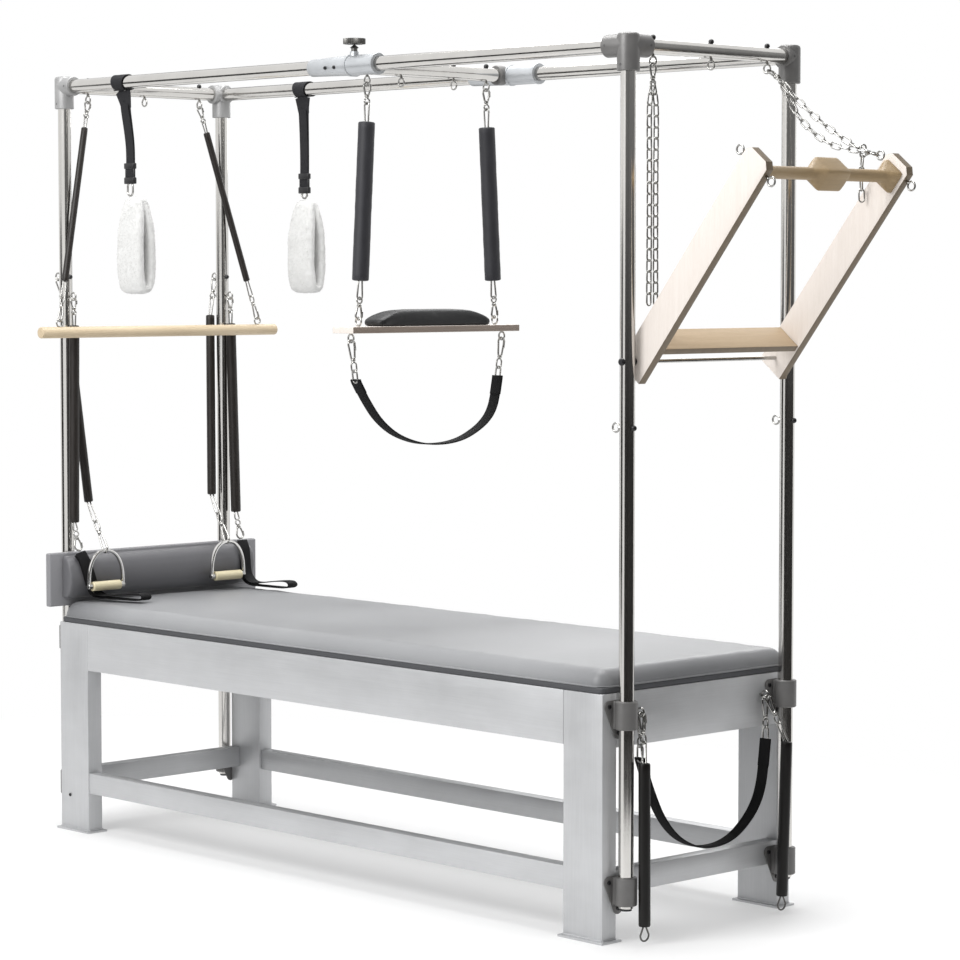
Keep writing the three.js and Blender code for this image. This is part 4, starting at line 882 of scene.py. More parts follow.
def hangingBolt(shape, x, y):  # an eye under the rails' height, its nut above
    reach = eye["drop"] + tube["radius"] + eye["nut"] / 2
    eyeBolt(shape, (x, y, tube["rail"] - eye["drop"]), zAxis, reach, yAxis)


def bracket(shape, side, y, high):
    low, half, reach = high - collar["length"], collar["webHalf"], flange["reach"]
    profile = barrel(collar["radius"], collar["length"], 2, tube["radius"])
    shape.add(turned(profile, (side * tube["x"], y, low), zAxis, 40), "bracket")
    face = halfLength + flange["gap"]
    a, b = sorted((side * (face + 1), side * (face + collar["web"])))
    shape.add(block((a, y - half, low + 1), (b, y + half, high - 1), 2.5), "bracket")
    top, foot = high - flange["high"], high - flange["low"]
    corners = [Vector((-reach, top)), Vector((reach, top)), Vector((0, foot))]
    centre = sum(corners, Vector((0, 0))) / 3
    outline = []
    for corner in corners[::-1]:
        away = atan2(corner.y - centre.y, corner.x - centre.x)
        for turn in range(-4, 5):
            angle, radius = away + turn * pi / 12, flange["corner"]
            outline.append((corner.x + radius * cos(angle), corner.y + radius * sin(angle)))
    x0 = face if side > 0 else -face - flange["thick"]
    shape.add(extruded(outline, flange["thick"], basis((x0, y, 0), yAxis, zAxis), flange["rim"]), "bracket")
    for corner in corners:
        screw = (side * (face + flange["thick"]), y + corner.x, corner.y)
        screwHead(shape, screw, xAxis * side, *flange["screw"])


def pipe(start, end):
    return rod(start, end, tube["radius"], 1, 40)


def posts():
    r, low, plug = tube["radius"], tube["low"], tube["plug"]
    for end, side in ends.items():
        for row, across in sides.items():
            x, y = side * tube["x"], across * tube["y"]
            shape = Shape().add(pipe((x, y, low), (x, y, tube["rail"] - tube["sunk"])), "steel")
            places = (x, y, low - plug["foot"]), (x, y, low + plug["top"])
            shape.add(rod(*places, plug["radius"], 1, 32), "blackPlastic")
            bracket(shape, side, y, collar["lower"])
            for way, z in tube["midEyes"][end]:
                nutAt = postEye + r + eye["nut"] / 2
                eyeBolt(shape, (x + way * postEye, y, z), xAxis * -way, nutAt, yAxis)
            shape.make(f"post_{row}_{end}")
            upper = Shape()
            bracket(upper, side, y, collar["upper"])
            upper.make(f"upper_bracket_{row}_{end}")


def cornerFittings():
    r, bore, bevel = fitting["radius"], tube["radius"] + fitting["clear"], fitting["bevel"]
    inset, grubRadius, grubHeight = fitting["grub"]
    for end, side in ends.items():
        for row, across in sides.items():
            centre = Vector((side * tube["x"], across * tube["y"], tube["rail"]))
            shape, finish = Shape(), "bracket" if side > 0 else "fittingPale"
            for length, direction in zip(fitting[f"{row}_{end}"], (xAxis * -side, yAxis * -across, -zAxis)):
                lip = [(r, length - bevel), (r - bevel, length),
                       (bore, length), (bore, length - fitting["lip"])]
                dome = fitting["below" if direction.z else "beside"]
                shape.add(turned(dome + lip, centre, direction, 44), finish)
                outward = xAxis * side if direction.y else yAxis * across
                grub = centre + direction * (length - inset) + outward * (r - fitting["sunk"])
                screwHead(shape, grub, outward, grubRadius, grubHeight)
            shape.make(f"corner_fitting_{row}_{end}")


def rails():
    z, overlap = tube["rail"], tube["overlap"]
    for row, across in sides.items():
        half, y = tube["x"] - overlap, across * tube["y"]
        Shape().add(pipe((-half, y, z), (half, y, z)), "steel").make(f"rail_{row}")
    for end, side in ends.items():
        x, half = side * tube["x"], tube["y"] - overlap
        shape = Shape().add(pipe((x, -half, z), (x, half, z)), "steel")
        for y in tube["eyes"]:
            hangingBolt(shape, x, y)
        shape.make(f"cross_rail_{end}")


posts()
cornerFittings()
rails()
print("tube frame made")

# Sliding crossbar and its knob
slider = {"x": 112, "from": -22, "taper": 155, "length": 267, "radius": 27, "mouth": 22, "lip": 29,
          "screws": (58.5, 94.6), "saddle": 28, "eyes": (220, 97),
          "boss": [(7, 0), (12, 0), (12, 20), (10.5, 22), (7, 22)]}
knob = {"x": 147.5, "teeth": 36, "radii": (28.2, 29.8), "low": 2250.5, "thick": 15, "screw": 2215,
        "stem": [(0, 0), (6, 0), (6, 12), (8.5, 14), (8.5, 24), (12, 26), (0, 36)]}


def crossbar():
    shape = Shape()
    z, inner, x = tube["rail"], tube["radius"] + 0.5, slider["x"]
    r, lip, mouth, taper, length = (slider[key] for key in ("radius", "lip", "mouth", "taper", "length"))
    profile = [(inner, 0), (mouth, 0), (mouth + 1, 1.5), (r, taper - 1), (lip, taper), (lip, taper + 6),
               (r, taper + 7), (r, length - 8), (lip, length - 6), (lip, length - 1), (lip - 1, length),
               (inner, length)]
    for across in (-1, 1):
        shape.add(turned(profile, (slider["from"], across * tube["y"], z), xAxis, 44), "alloy")
        for screw in slider["screws"]:
            screwHead(shape, (screw, across * (tube["y"] + r - 1), z - 4), yAxis * across, 5, 3)
        saddle = across * (tube["y"] - r - slider["saddle"] / 2)
        end = saddle + across * slider["saddle"]
        # painted shade: the far saddle is given the darker bracket grey, the near one the pale alloy
        shape.add(rod((x, saddle, z), (x, end, z), r, 2, 40), "bracket" if across > 0 else "alloy")
    half = tube["y"] - tube["radius"]
    shape.add(pipe((x, -half, z), (x, half, z)), "steel")
    for y in slider["eyes"]:
        for across in (-1, 1):
            hangingBolt(shape, x, across * y)
    shape.add(turned(slider["boss"], (knob["x"], -tube["y"], z + 15), zAxis, 28), "alloy")
    shape.make("crossbar", "crossbar")


def clampKnob():
    outline = []
    for n in range(knob["teeth"] * 2):
        radius, angle = knob["radii"][n % 2], pi * n / knob["teeth"]
        outline.append((radius * cos(angle), radius * sin(angle)))
    lift = Matrix.Translation((knob["x"], -tube["y"], knob["low"]))
    shape = Shape().add(extruded(outline, knob["thick"], lift, 1.0), "knurled")
    shape.add(turned(knob["stem"], (knob["x"], -tube["y"], knob["screw"]), zAxis, 24), "knurled")
    shape.make("clamp_knob", "clamp_knob", sharp=30)


crossbar()
clampKnob()
print("crossbar made")

# Springs in their sleeves
random.seed(11)
springs = {  # hooks and wire: half width and wire. meet: where hook and wire end meet, as a share
    "trapeze": {"topHook": (12, 2.9), "wire": (9, 2.6), "footHook": (11, 2.8), "radius": 23,
                "meet": (0.56, 0.42), "finish": "padSleeve", "soft": 0.5},
    "rollDown": {"topHook": (10, 2.5), "wire": (7, 2.2), "footHook": (10, 2.5), "radius": 10,
                 "meet": (0.625, 0.068 / 0.18)},
    "handle": {"topHook": (10, 2.5), "wire": (8, 2.3), "footHook": (11, 2.6), "radius": 13.5,
               "meet": (0.55, 0.38)},
    "strap": {"topHook": (10, 2.6), "wire": (8, 2.3), "footHook": (13, 2.8), "radius": 15.5,
              "meet": (0.6, 0.3)},
    "lower": {"topHook": (11, 2.6), "wire": (8, 2.3), "radius": 15, "meet": (0.62,),
              "finish": "blackSleeve"},
}


cuff = {"mouth": [(0, 0), (0.6, 0), (0.9, 1.2), (0.985, 4)], "foldShare": 0.06, "row": 14, "leastRows": 12}


def sleeve(shape, start, end, radius, finish="sleeve", soft=0.25):
    length = (end - start).length
    rows = max(cuff["leastRows"], round(length / cuff["row"]))
    mouth = [(radius * share, distance) for share, distance in cuff["mouth"]]
    profile, deep = list(mouth), mouth[-1][1]
    for n in range(1, rows):
        waist = radius * (1 - soft * cuff["foldShare"] * random.random())
        profile.append((waist, deep + (length - 2 * deep) * n / rows))
    profile += [(r, length - distance) for r, distance in mouth[::-1]]
    shape.add(turned(profile, start, end - start, 28), finish)


def leftEye(number, across):  # where a hook hangs in an eye of a left post
    way, high = tube["midEyes"]["left"][number]
    return Vector((way * postEye - tube["x"], across * tube["y"], high - hookDrop))


def mirrored(places, across):
    return [Vector((x, across * y, z)) for x, y, z in places]


def wireEnd(shape, start, end, half, wire, across):
    shape.add(loop(start, end + (end - start).normalized() * 6, half, wire, across, half * 0.7), "chrome")


def sling(kind, points, lift=zAxis * 5, sink=zAxis * 0, across=yAxis, hookUp=0):
    top, sleeveTop, sleeveFoot, *feet = points
    spec, shape = springs[kind], Shape()
    middle = top.lerp(sleeveTop, spec["meet"][0])
    snapHook(shape, top, middle, yAxis, *spec["topHook"])
    wireEnd(shape, middle + lift, sleeveTop, *spec["wire"], xAxis)
    sleeve(shape, sleeveTop, sleeveFoot, spec["radius"], spec.get("finish", "sleeve"), spec.get("soft", 0.25))
    for foot in feet:  # the lower springs end in a loop of their own
        low = sleeveFoot.lerp(foot, spec["meet"][1])
        wireEnd(shape, low + sink, sleeveFoot, *spec["wire"], yAxis)
        snapHook(shape, foot + zAxis * hookUp, low, across, *spec["footHook"])
    return shape


seat = {"low": 1485, "thick": 18, "depth": 84, "half": 309, "cushion": 424, "cushionHigh": 45,
        "lowerEye": 280, "upperEye": 253, "eyeOut": 13.5, "bolt": 18,
        "cloth": (0.005, 4.0, 0.003), "ease": 4, "rise": 3, "sleeve": ((222, 2050), (246, 1625))}


def trapezeSlings():
    x, high = slider["x"], seat["low"] + seat["thick"] + seat["eyeOut"]
    for row, across in sides.items():
        places = [(slider["eyes"][0], tube["rail"] - eye["drop"] - hookDrop), *seat["sleeve"],
                  (seat["upperEye"], high + hookDrop)]
        points = mirrored([(x, *at) for at in places], across)
        shape = sling("trapeze", points, sink=zAxis * -6)
        shape.make(f"trapeze_sling_{row}", "trapeze", slot="sleeve")


dowel = {"x": -1075, "z": 1473, "half": 443, "radius": 16.5, "eyes": 374, "railEyes": 210,
         "sleeveShares": (0.12, 0.82), "tieShare": 0.007}


def rollDown():
    x, z, r, half = dowel["x"], dowel["z"], dowel["radius"], dowel["half"]
    tip = [(0, 0), (r - 2.5, 0), (r - 0.7, 0.7), (r, 2.6)]
    profile = tip + [(radius, 2 * half - distance) for radius, distance in tip[::-1]]
    shape = Shape().add(turned(profile, (x, -half, z), yAxis, 40), "woodAcross")
    eyeHigh = z + r + eye["ring"]
    for across in (-1, 1):
        eyeBolt(shape, (x, across * dowel["eyes"], eyeHigh), -zAxis, eye["ring"] + r, xAxis, False)
    shape.make("roll_down_bar", "roll_down")
    for row, across in sides.items():
        top = Vector((-tube["x"], across * dowel["railEyes"], tube["rail"] - eye["drop"] - hookDrop))
        foot = Vector((x, across * dowel["eyes"], eyeHigh + hookDrop))
        run = foot - top
        points = [top] + [top + run * share for share in dowel["sleeveShares"]] + [foot]
        shape = sling("rollDown", points, run * -dowel["tieShare"], run * dowel["tieShare"], xAxis)
        shape.make(f"roll_down_spring_{row}", "roll_down", slot="sleeve")


trapezeSlings()
rollDown()

handle = {"x": -1033, "near": 245, "far": 217, "top": 828, "grip": 723, "half": 62, "gripRadius": 14,
          "gripLength": 102, "socket": 8.5, "pin": 3.4, "bore": 4.2, "slack": 0.5, "socketOut": 4,
          "pinOut": 3, "band": (12, 9.5, 4.2), "fullness": 0.7,
          "sleeve": ((-1180, 272, 1518), (-1130, 234, 965))}


def handles():
    x, grip, half, rise = handle["x"], handle["grip"], handle["half"], handle["top"] - handle["grip"]
    r, length, full = handle["gripRadius"], handle["gripLength"], handle["fullness"]
    pinReach = half + handle["pinOut"]
    for row, across in sides.items():
        y = across * handle[row]
        top = leftEye(0, across)
        sleeveTop, sleeveFoot = mirrored(handle["sleeve"], across)
        bowTop = Vector((x, y, handle["top"]))
        foot = bowTop + (bowTop - sleeveFoot).normalized() * 6
        sink = (foot - sleeveFoot).normalized() * 5
        shape = sling("handle", (top, sleeveTop, sleeveFoot, foot), sink=sink, across=xAxis)
        shape.make(f"handle_spring_{row}", f"handle_spring_{row}", slot="sleeve")

        angles = [pi * n / 32 for n in range(33)]
        route = [Vector((x, y - half * cos(turn), grip + rise * sin(turn) ** full)) for turn in angles]
        bow = Shape().add(swept(route, rounded(*handle["band"]), xAxis), "bowChrome")
        for way in (-1, 1):
            inside, outside = y + way * (length / 2 + handle["slack"]), y + way * (half + handle["socketOut"])
            bow.add(rod((x, inside, grip), (x, outside, grip), handle["socket"], 1.2, 24), "chrome")
        bow.add(rod((x, y - pinReach, grip), (x, y + pinReach, grip), handle["pin"], 0.8, 16), "chrome")
        bow.make(f"handle_bow_{row}", f"handle_bow_{row}")

        profile = barrel(r, length, 2, handle["bore"]) + [(handle["bore"], 0)]
        wood = Shape().add(turned(profile, (x, y - length / 2, grip), yAxis, 32), "woodGrip")
        wood.make(f"handle_grip_{row}", f"handle_grip_{row}")


handles()

# places: the sleeve's two ends and the ring that holds the webbing
strapSling = {"band": (38, 3, 1.2),
              "places": ((-1110, tube["y"], 1493), (-1103, 308, 909), (-1080, 308, 826))}
strapRoutes = {
    "near": [(-1083, -307, 816), (-1067, -300, 797), (-1060, -290, 760), (-1059, -278, 722),
             (-1053, -268, 700), (-1034, -260, 689.5), (-990, -250, 688.5), (-930, -236, 688.5),
             (-884, -224, 689.5), (-870, -220, 698), (-884, -223, 707), (-935, -236, 703),
             (-995, -251, 696), (-1030, -261, 696.5), (-1047, -269, 706), (-1054, -278, 726),
             (-1055, -290, 762), (-1061, -300, 798), (-1074, -307, 823)],
    "far": [(-1083, 308, 816), (-1067, 308, 797), (-1060, 307, 760), (-1056, 306, 722),
            (-1042, 306, 700), (-1014, 307, 689.5), (-970, 310, 688.5), (-905, 315, 688.5),
            (-862, 319, 690), (-846, 320, 699), (-862, 319, 709), (-915, 315, 706),
            (-975, 310, 698), (-1012, 307, 697.5), (-1034, 306, 708), (-1049, 306, 728),
            (-1055, 307, 762), (-1061, 308, 798), (-1074, 308, 823)],
}


def footStraps():
    for row, across in sides.items():
        shape = sling("strap", [leftEye(1, across)] + mirrored(strapSling["places"], across), hookUp=2)
        shape.make(f"strap_spring_{row}", f"foot_strap_{row}", slot="sleeve")
        band = swept(smooth(strapRoutes[row], 6), rounded(*strapSling["band"]), yAxis)
        strap = Shape().add(band, "webbing")
        strap.make(f"strap_loop_{row}", f"foot_strap_{row}", sharp=50)


footStraps()
print("springs, handles and straps made")


# Trapeze seat and its strap
def seatBoard():
    x, depth, half, low = slider["x"], seat["depth"] / 2, seat["half"], seat["low"]
    high = low + seat["thick"]
    side = ("woodSide", lambda normal: abs(normal.x) > 0.8)
    shape = Shape().add(block((x - depth, -half, low), (x + depth, half, high), 1.6, 3), "woodArm", side)
    for across in (-1, 1):
        above = (x, across * seat["upperEye"], high + seat["eyeOut"])
        below = (x, across * seat["lowerEye"], low - seat["eyeOut"])
        eyeBolt(shape, above, -zAxis, seat["bolt"], yAxis, False)
        eyeBolt(shape, below, zAxis, seat["bolt"], yAxis, False)
    shape.make("seat_board", "seat")


# The cushion's rings, each with its inset across, its inset along, and its height
cushionRings = [(0.05, 4, 0), (0.02, 1, 0.1), (0, 0, 0.24), (0.005, 5, 0.4), (0.04, 16, 0.56),
                (0.11, 34, 0.72), (0.22, 55, 0.85), (0.42, 82, 0.95), (0.72, 120, 1)]


def seatCushion():  # drawn smaller by what the cloth swells
    low, high = seat["low"] + seat["thick"] + 0.4, seat["cushionHigh"] - seat["rise"]
    depth, length = seat["depth"] - seat["ease"], seat["cushion"] - seat["ease"]
    rings = []
    for inward, slope, up in cushionRings:
        share = (length - 2 * slope) / length
        outline = rounded(depth, length, depth / 4, inward * depth / 2, 6)
        rings.append([Vector((slider["x"] + x, y * share, low + up * high)) for x, y in outline])
    count = len(rings[0])
    faces = skinFaces(len(rings), count) + caps(len(rings), count)
    shape = Shape().add((sum(rings, []), faces), "blackVinyl")
    piece = shape.make("seat_cushion", sharp=60, ready=False)
    swell(piece, *seat["cloth"])
    subdivide(piece)
    settle(piece, "seat", "seat_cushion")


straps = {  # a wide loop of webbing below two eyes. foot: where its D-rings meet the webbing
    "seat": {"x": slider["x"], "half": 264, "high": 1358, "drop": 180, "width": 38, "foot": 1356,
             "meet": 0.78, "eye": (seat["lowerEye"], seat["low"] - seat["eyeOut"]), "tilted": True},
    "lower": {"x": halfLength + table["endEyes"][0], "half": 234, "high": 449, "drop": 249, "width": 34,
              "foot": 446, "meet": 0.72, "eye": table["endEyes"][1:], "tilted": False},
}
sewing = {"band": (4, 1.5), "fold": (7.5, 1.6), "foldRows": 6, "foldLift": 3, "snap": (11, 2.8),
          "ring": (9, 2.6), "ringFrom": 6, "ringTo": 4}
strapCurve = [(-1, 1), (-0.86, 0.69), (-0.69, 0.4), (-0.47, 0.18), (-0.2, 0.045), (0.07, 0), (0.34, 0.025),
              (0.57, 0.12), (0.8, 0.31), (0.93, 0.56), (1, 1)]


def hungStrap(kind):
    spec = straps[kind]
    x, half, drop, width = spec["x"], spec["half"], spec["drop"], spec["width"]
    route = smooth([(x, y * half, spec["high"] - drop + z * drop) for y, z in strapCurve])
    shape = Shape().add(swept(route, rounded(width, *sewing["band"]), xAxis), "webbing")
    for across in (-1, 1):
        eyeAt = Vector((x, across * spec["eye"][0], spec["eye"][1] - hookDrop))
        foot = Vector((x, across * half, spec["foot"]))
        middle = eyeAt.lerp(foot, spec["meet"])
        down = (foot - eyeAt).normalized() if spec["tilted"] else -zAxis
        snapHook(shape, eyeAt, middle, yAxis, *sewing["snap"])
        ringTop, ringFoot = middle - down * sewing["ringFrom"], foot + down * sewing["ringTo"]
        shape.add(loop(ringTop, ringFoot, *sewing["ring"], xAxis), "chrome")
        fold = route[::-across][:sewing["foldRows"]]  # the sewn fold at this end
        fold[0] = fold[0] + zAxis * sewing["foldLift"]
        shape.add(swept(fold, rounded(width, *sewing["fold"]), xAxis), "webbing")
    return shape


seatBoard()
seatCushion()
hungStrap("seat").make("trapeze_strap", "seat_strap", "seatStrap", 50)
print("trapeze made")

# Push-through bar, leant outwards about its pivot
bar = {"height": 1430, "arm": 632, "width": 83, "thick": 25, "stance": 259.5, "offset": 3, "chamfer": 14,
       "foot": 34, "eyes": (62, 600), "shelf": (38, 55, 73), "handle": 582, "axle": 5,
       "gap": 0.4, "square": {"share": 0.78, "from": 16, "over": 12}}
grips = [(-58, 15.5), (-50, 16.5), (-36, 26), (-28, 30), (-24, 31),
         (48, 31), (52, 30), (60, 26), (74, 16.5), (82, 15.5)]
gripEnd = [(0, 31), (8, 31), (13, 29), (22, 21), (30, 15.5)]
leanBasis = basis((tube["x"], 0, bar["height"]), (cos(leaning), 0, -sin(leaning)), yAxis)
leanRun = leanBasis.to_3x3() @ xAxis
barReach = bar["stance"] - bar["thick"] / 2 - bar["gap"]


def leant(x, y, z):
    return leanBasis @ Vector((x, y, z))


def pushBarArms():
    half, cut, top, thick = bar["width"] / 2, bar["chamfer"], bar["arm"], bar["thick"]
    left, right = bar["offset"] - half, bar["offset"] + half
    outline = [(left, -bar["foot"]), (right, -bar["foot"]), (right, top - cut), (right - cut, top),
               (left + cut, top), (left, top - cut)]
    out, high = bar["eyes"]
    for row, across in sides.items():
        matrix = leanBasis @ basis((0, across * bar["stance"] + thick / 2, 0), xAxis, zAxis)
        edge = ("woodArmEdge", lambda normal: abs(normal.y) < 0.5)
        shape = Shape().add(extruded(outline, thick, matrix, 1.4), "woodArm", edge)
        for way in (-1, 1):
            where = leant(bar["offset"] + way * out, across * bar["stance"], high)
            eyeBolt(shape, where, leanRun * -way, out - half + 6, yAxis, False)
        shape.make(f"push_bar_arm_{row}", "push_bar")


def pushBarShelf():
    (half, low, high), x = bar["shelf"], bar["offset"]
    box = block((x - half, -barReach, low), (x + half, barReach, high), 1.6, 3, leanBasis)
    edge = ("woodArmEdge", lambda normal: normal.dot(leanRun) > 0.8)
    Shape().add(box, "woodShelf", edge).make("push_bar_shelf", "push_bar")


def pushBarHandle():
    places = [(out - barReach, size) for out, size in gripEnd] + grips
    places += [(barReach - out, size) for out, size in gripEnd[::-1]]
    points, count, square = [], 32, bar["square"]
    for y, size in places:
        thickness = min(1, max(0, (size - square["from"]) / square["over"]))
        power = 1 - square["share"] * thickness  # thick stretches are nearly square
        for n in range(count):
            angle = 2 * pi * (n + 0.5) / count
            x, z = size * bulge(cos(angle), power), size * bulge(sin(angle), power)
            points.append(leant(bar["offset"] + x, y, bar["handle"] + z))
    faces = [[b, a, d, c] for a, b, c, d in skinFaces(len(places), count)]
    faces += [cap[::-1] for cap in caps(len(places), count)]
    piece = Shape().add((points, faces), "woodEdge").make("push_bar_handle", sharp=45, ready=False)
    recalculate(piece)
    settle(piece, "push_bar", "push_bar_handle")


def axle():
    x, z, outer = tube["x"], bar["height"], tube["y"] + tube["radius"] + bar["gap"]
    shape = Shape().add(rod((x, -outer - 2, z), (x, outer + 2, z), bar["axle"], 1, 24), "chrome")
    cap = [(0, 0), (9, 0), (9, 3.6), (7, 6), (0, 6.4)]
    a, b = bar["stance"] + bar["thick"] / 2 + bar["gap"], tube["y"] - tube["radius"] - bar["gap"]
    for across in (-1, 1):
        shape.add(turned(cap, (x, across * outer, z), yAxis * across, 24), "blackPlastic")
        shape.add(rod((x, across * a, z), (x, across * b, z), 10, 0.8, 28), "blackPlastic")
    shape.make("push_bar_axle")


pushBarArms()
pushBarShelf()
pushBarHandle()
axle()
print("push bar made")


# Trees of nodes. A step is a node with its settings in small letters and its sockets' values
def nodeTree(name, entries, steps, links):
    tree = bpy.data.node_groups.new(name, "GeometryNodeTree")
    for label, kind in {"Geometry": "Geometry", **entries}.items():
        tree.interface.new_socket(label, in_out="INPUT", socket_type=f"NodeSocket{kind}")
    tree.interface.new_socket("Geometry", in_out="OUTPUT", socket_type="NodeSocketGeometry")
    made = {}
    steps = {"start": ("NodeGroupInput", {}), "end": ("NodeGroupOutput", {}), **steps}
    for label, (kind, settings) in steps.items():
        made[label] = tree.nodes.new(kind)
        for key, value in settings.items():
            if str(key).islower():
                setattr(made[label], key, value)
            else:
                made[label].inputs[key].default_value = value
    for link in links:
        (source, output), (target, entry) = (end.split(".") for end in link.split(" > "))
        output, entry = (int(key) if key.isdigit() else key for key in (output, entry))
        tree.links.new(made[source].outputs[output], made[target].inputs[entry])
    return tree


def setTree(holder, tree, values):
    modifier = holder.modifiers.new("tree", "NODES")
    modifier.node_group = tree
    for item in tree.interface.items_tree:
        if item.item_type == "SOCKET" and item.in_out == "INPUT" and item.name in values:
            modifier[item.identifier] = values[item.name]


def seedPiece(name, made):  # a small mesh that a tree repeats
    mesh = bpy.data.meshes.new(name)
    mesh.from_pydata([Vector(p) / 1000 for p in made[0]], [], made[1])
    mesh.shade_smooth()
    return addObject(name, mesh)


chainNodes = nodeTree("chainLinks", {"Link": "Object", "Pitch": "Float", "Metal": "Material"}, {
    "resample": ("GeometryNodeResampleCurve", {"mode": "LENGTH"}),
    "onCurve": ("GeometryNodeCurveToPoints", {"mode": "EVALUATED"}),
    "info": ("GeometryNodeObjectInfo", {}),
    "lay": ("GeometryNodeInstanceOnPoints", {}),
    "number": ("GeometryNodeInputIndex", {}),
    "odd": ("ShaderNodeMath", {"operation": "MODULO", 1: 2}),
    "quarter": ("ShaderNodeMath", {"operation": "MULTIPLY", 1: pi / 2}),
    "turn": ("ShaderNodeCombineXYZ", {}),
    "rotate": ("GeometryNodeRotateInstances", {}),
    "realize": ("GeometryNodeRealizeInstances", {}),
    "paint": ("GeometryNodeSetMaterial", {}),
}, [
    "start.Geometry > resample.Curve", "start.Pitch > resample.Length", "resample.Curve > onCurve.Curve",
    "start.Link > info.Object", "onCurve.Points > lay.Points", "onCurve.Rotation > lay.Rotation",
    "info.Geometry > lay.Instance", "number.Index > odd.0", "odd.0 > quarter.0", "quarter.0 > turn.Z",
    "lay.Instances > rotate.Instances", "turn.0 > rotate.Rotation", "rotate.Instances > realize.Geometry",
    "realize.Geometry > paint.Geometry", "start.Metal > paint.Material", "paint.Geometry > end.Geometry",
])
chain = {"length": 36, "half": 7, "wire": 2.1, "bite": 4.4, "snap": 2100, "foot": 1566, "nearHalf": 12,
         "gather": (1444, 234, 1946), "farSnap": 46, "eyes": 210,
         "sags": ((14, 0.3, 0.65), (52, 0.25, 0.6)), "tail": (55, 110)}


def layChain(name, routes):
    curve = bpy.data.curves.new(name, "CURVE")
    curve.dimensions = "3D"
    curve.twist_mode = "MINIMUM"
    for route in routes:
        spline = curve.splines.new("POLY")
        spline.points.add(len(route) - 1)
        for point, where in zip(spline.points, route):
            point.co = tuple(place(where)) + (1,)
    holder = addObject(name, curve)
    reach = chain["length"] / 2 - chain["wire"]
    made = loop((0, 0, -reach), (0, 0, reach), chain["half"], chain["wire"], xAxis, count=6)
    link = seedPiece("looseLink", made)
    pitch = (chain["length"] - chain["bite"] * chain["wire"]) / 1000
    setTree(holder, chainNodes, {"Link": link, "Pitch": pitch, "Metal": finishes["chrome"][0].material})
    mesh = evaluated(holder)
    bpy.data.objects.remove(holder)
    bpy.data.objects.remove(link)
    mesh.shade_smooth()
    return addObject(name, mesh)


def nearChain():
    x, snapAt = tube["x"], chain["snap"]
    top = Vector((x, -chain["eyes"], tube["rail"] - eye["drop"] - hookDrop))
    routes = []
    for way in (-1, 1):
        y = top.y + way * chain["nearHalf"]
        places = ((top.y + way * 3, snapAt - 6), (y, snapAt - 60), (y - way, 1850), (y, chain["foot"] + 16))
        routes.append(smooth([(x, *at) for at in places], 10))
    settle(layChain("nearChain", routes), "near_chain", "near_chain")
    snap = Shape()
    snapHook(snap, top, (x, top.y, snapAt), yAxis, 10, 2.6)
    snap.make(None, "near_chain", "nearChainSnap")


def farChain():
    gather = Vector(chain["gather"])
    eyeAt = Vector((tube["x"], chain["eyes"], tube["rail"] - eye["drop"]))
    armEye = leant(bar["offset"] - bar["eyes"][0], bar["stance"], bar["eyes"][1])
    top = eyeAt + (gather - eyeAt).normalized() * hookDrop
    snapFoot = top + (gather - top).normalized() * chain["farSnap"]
    hook = armEye + (gather - armEye).normalized() * 3
    routes = []
    for deep, *shares in chain["sags"]:
        sagging = [snapFoot.lerp(gather, share) - zAxis * deep for share in shares]
        routes.append(smooth([snapFoot, *sagging, gather], 10))
    middle, end = chain["tail"]
    routes.append(smooth([gather, gather - Vector((2, 4, middle)), gather - Vector((0, 4, end))]))
    links = layChain("farChain", routes)
    clips = Shape()
    snapHook(clips, top, snapFoot, yAxis, 10, 2.6)
    snapHook(clips, hook, gather, yAxis, 14, 2.6)
    start, end = tuple(place(eyeAt)), tuple(place(armEye))
    for piece in (links, clips.make(None, name="farChainClips", ready=False)):
        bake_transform(piece)
    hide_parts("far_chain")


nearChain()
farChain()
print("chains made")

# Fleece loops on their choked straps
fleece = {"width": 110, "depth": 80, "wall": 33, "pile": 1.0, "low": 1585, "high": 1868, "tufts": 32000.0,
          "rows": 72, "around": 24, "fullness": {"up": 0.8, "out": 0.62, "width": 0.55, "depth": 0.8},
          "narrowing": {"from": 0.35, "share": 0.5, "power": 1.4}, "curl": ((22, 0.0018), (70, 0.0008)),
          "tuft": [(0, 0), (1.5, 0.3), (1.2, 1.5), (0, 2.4)],
          "near": {"wrap": -868, "buckle": -832, "loop": -806, "top": 1964, "dip": 2, "seed": 3},
          "far": {"wrap": -760, "buckle": -756, "loop": -748, "top": 1946, "dip": 0.5, "seed": 8}}
choke = {"gap": 2.4, "spread": 15, "cross": 9, "wrapBand": (34, 3, 1.1), "tailBand": (35, 2.6, 1),
         "throat": 82, "tail": 60, "apart": 2.2, "hook": (12, 3)}
buckle = {"half": 22.5, "thick": 6.5, "bars": ((61, 42), (18, 1)), "inset": 4, "rod": 3.5}


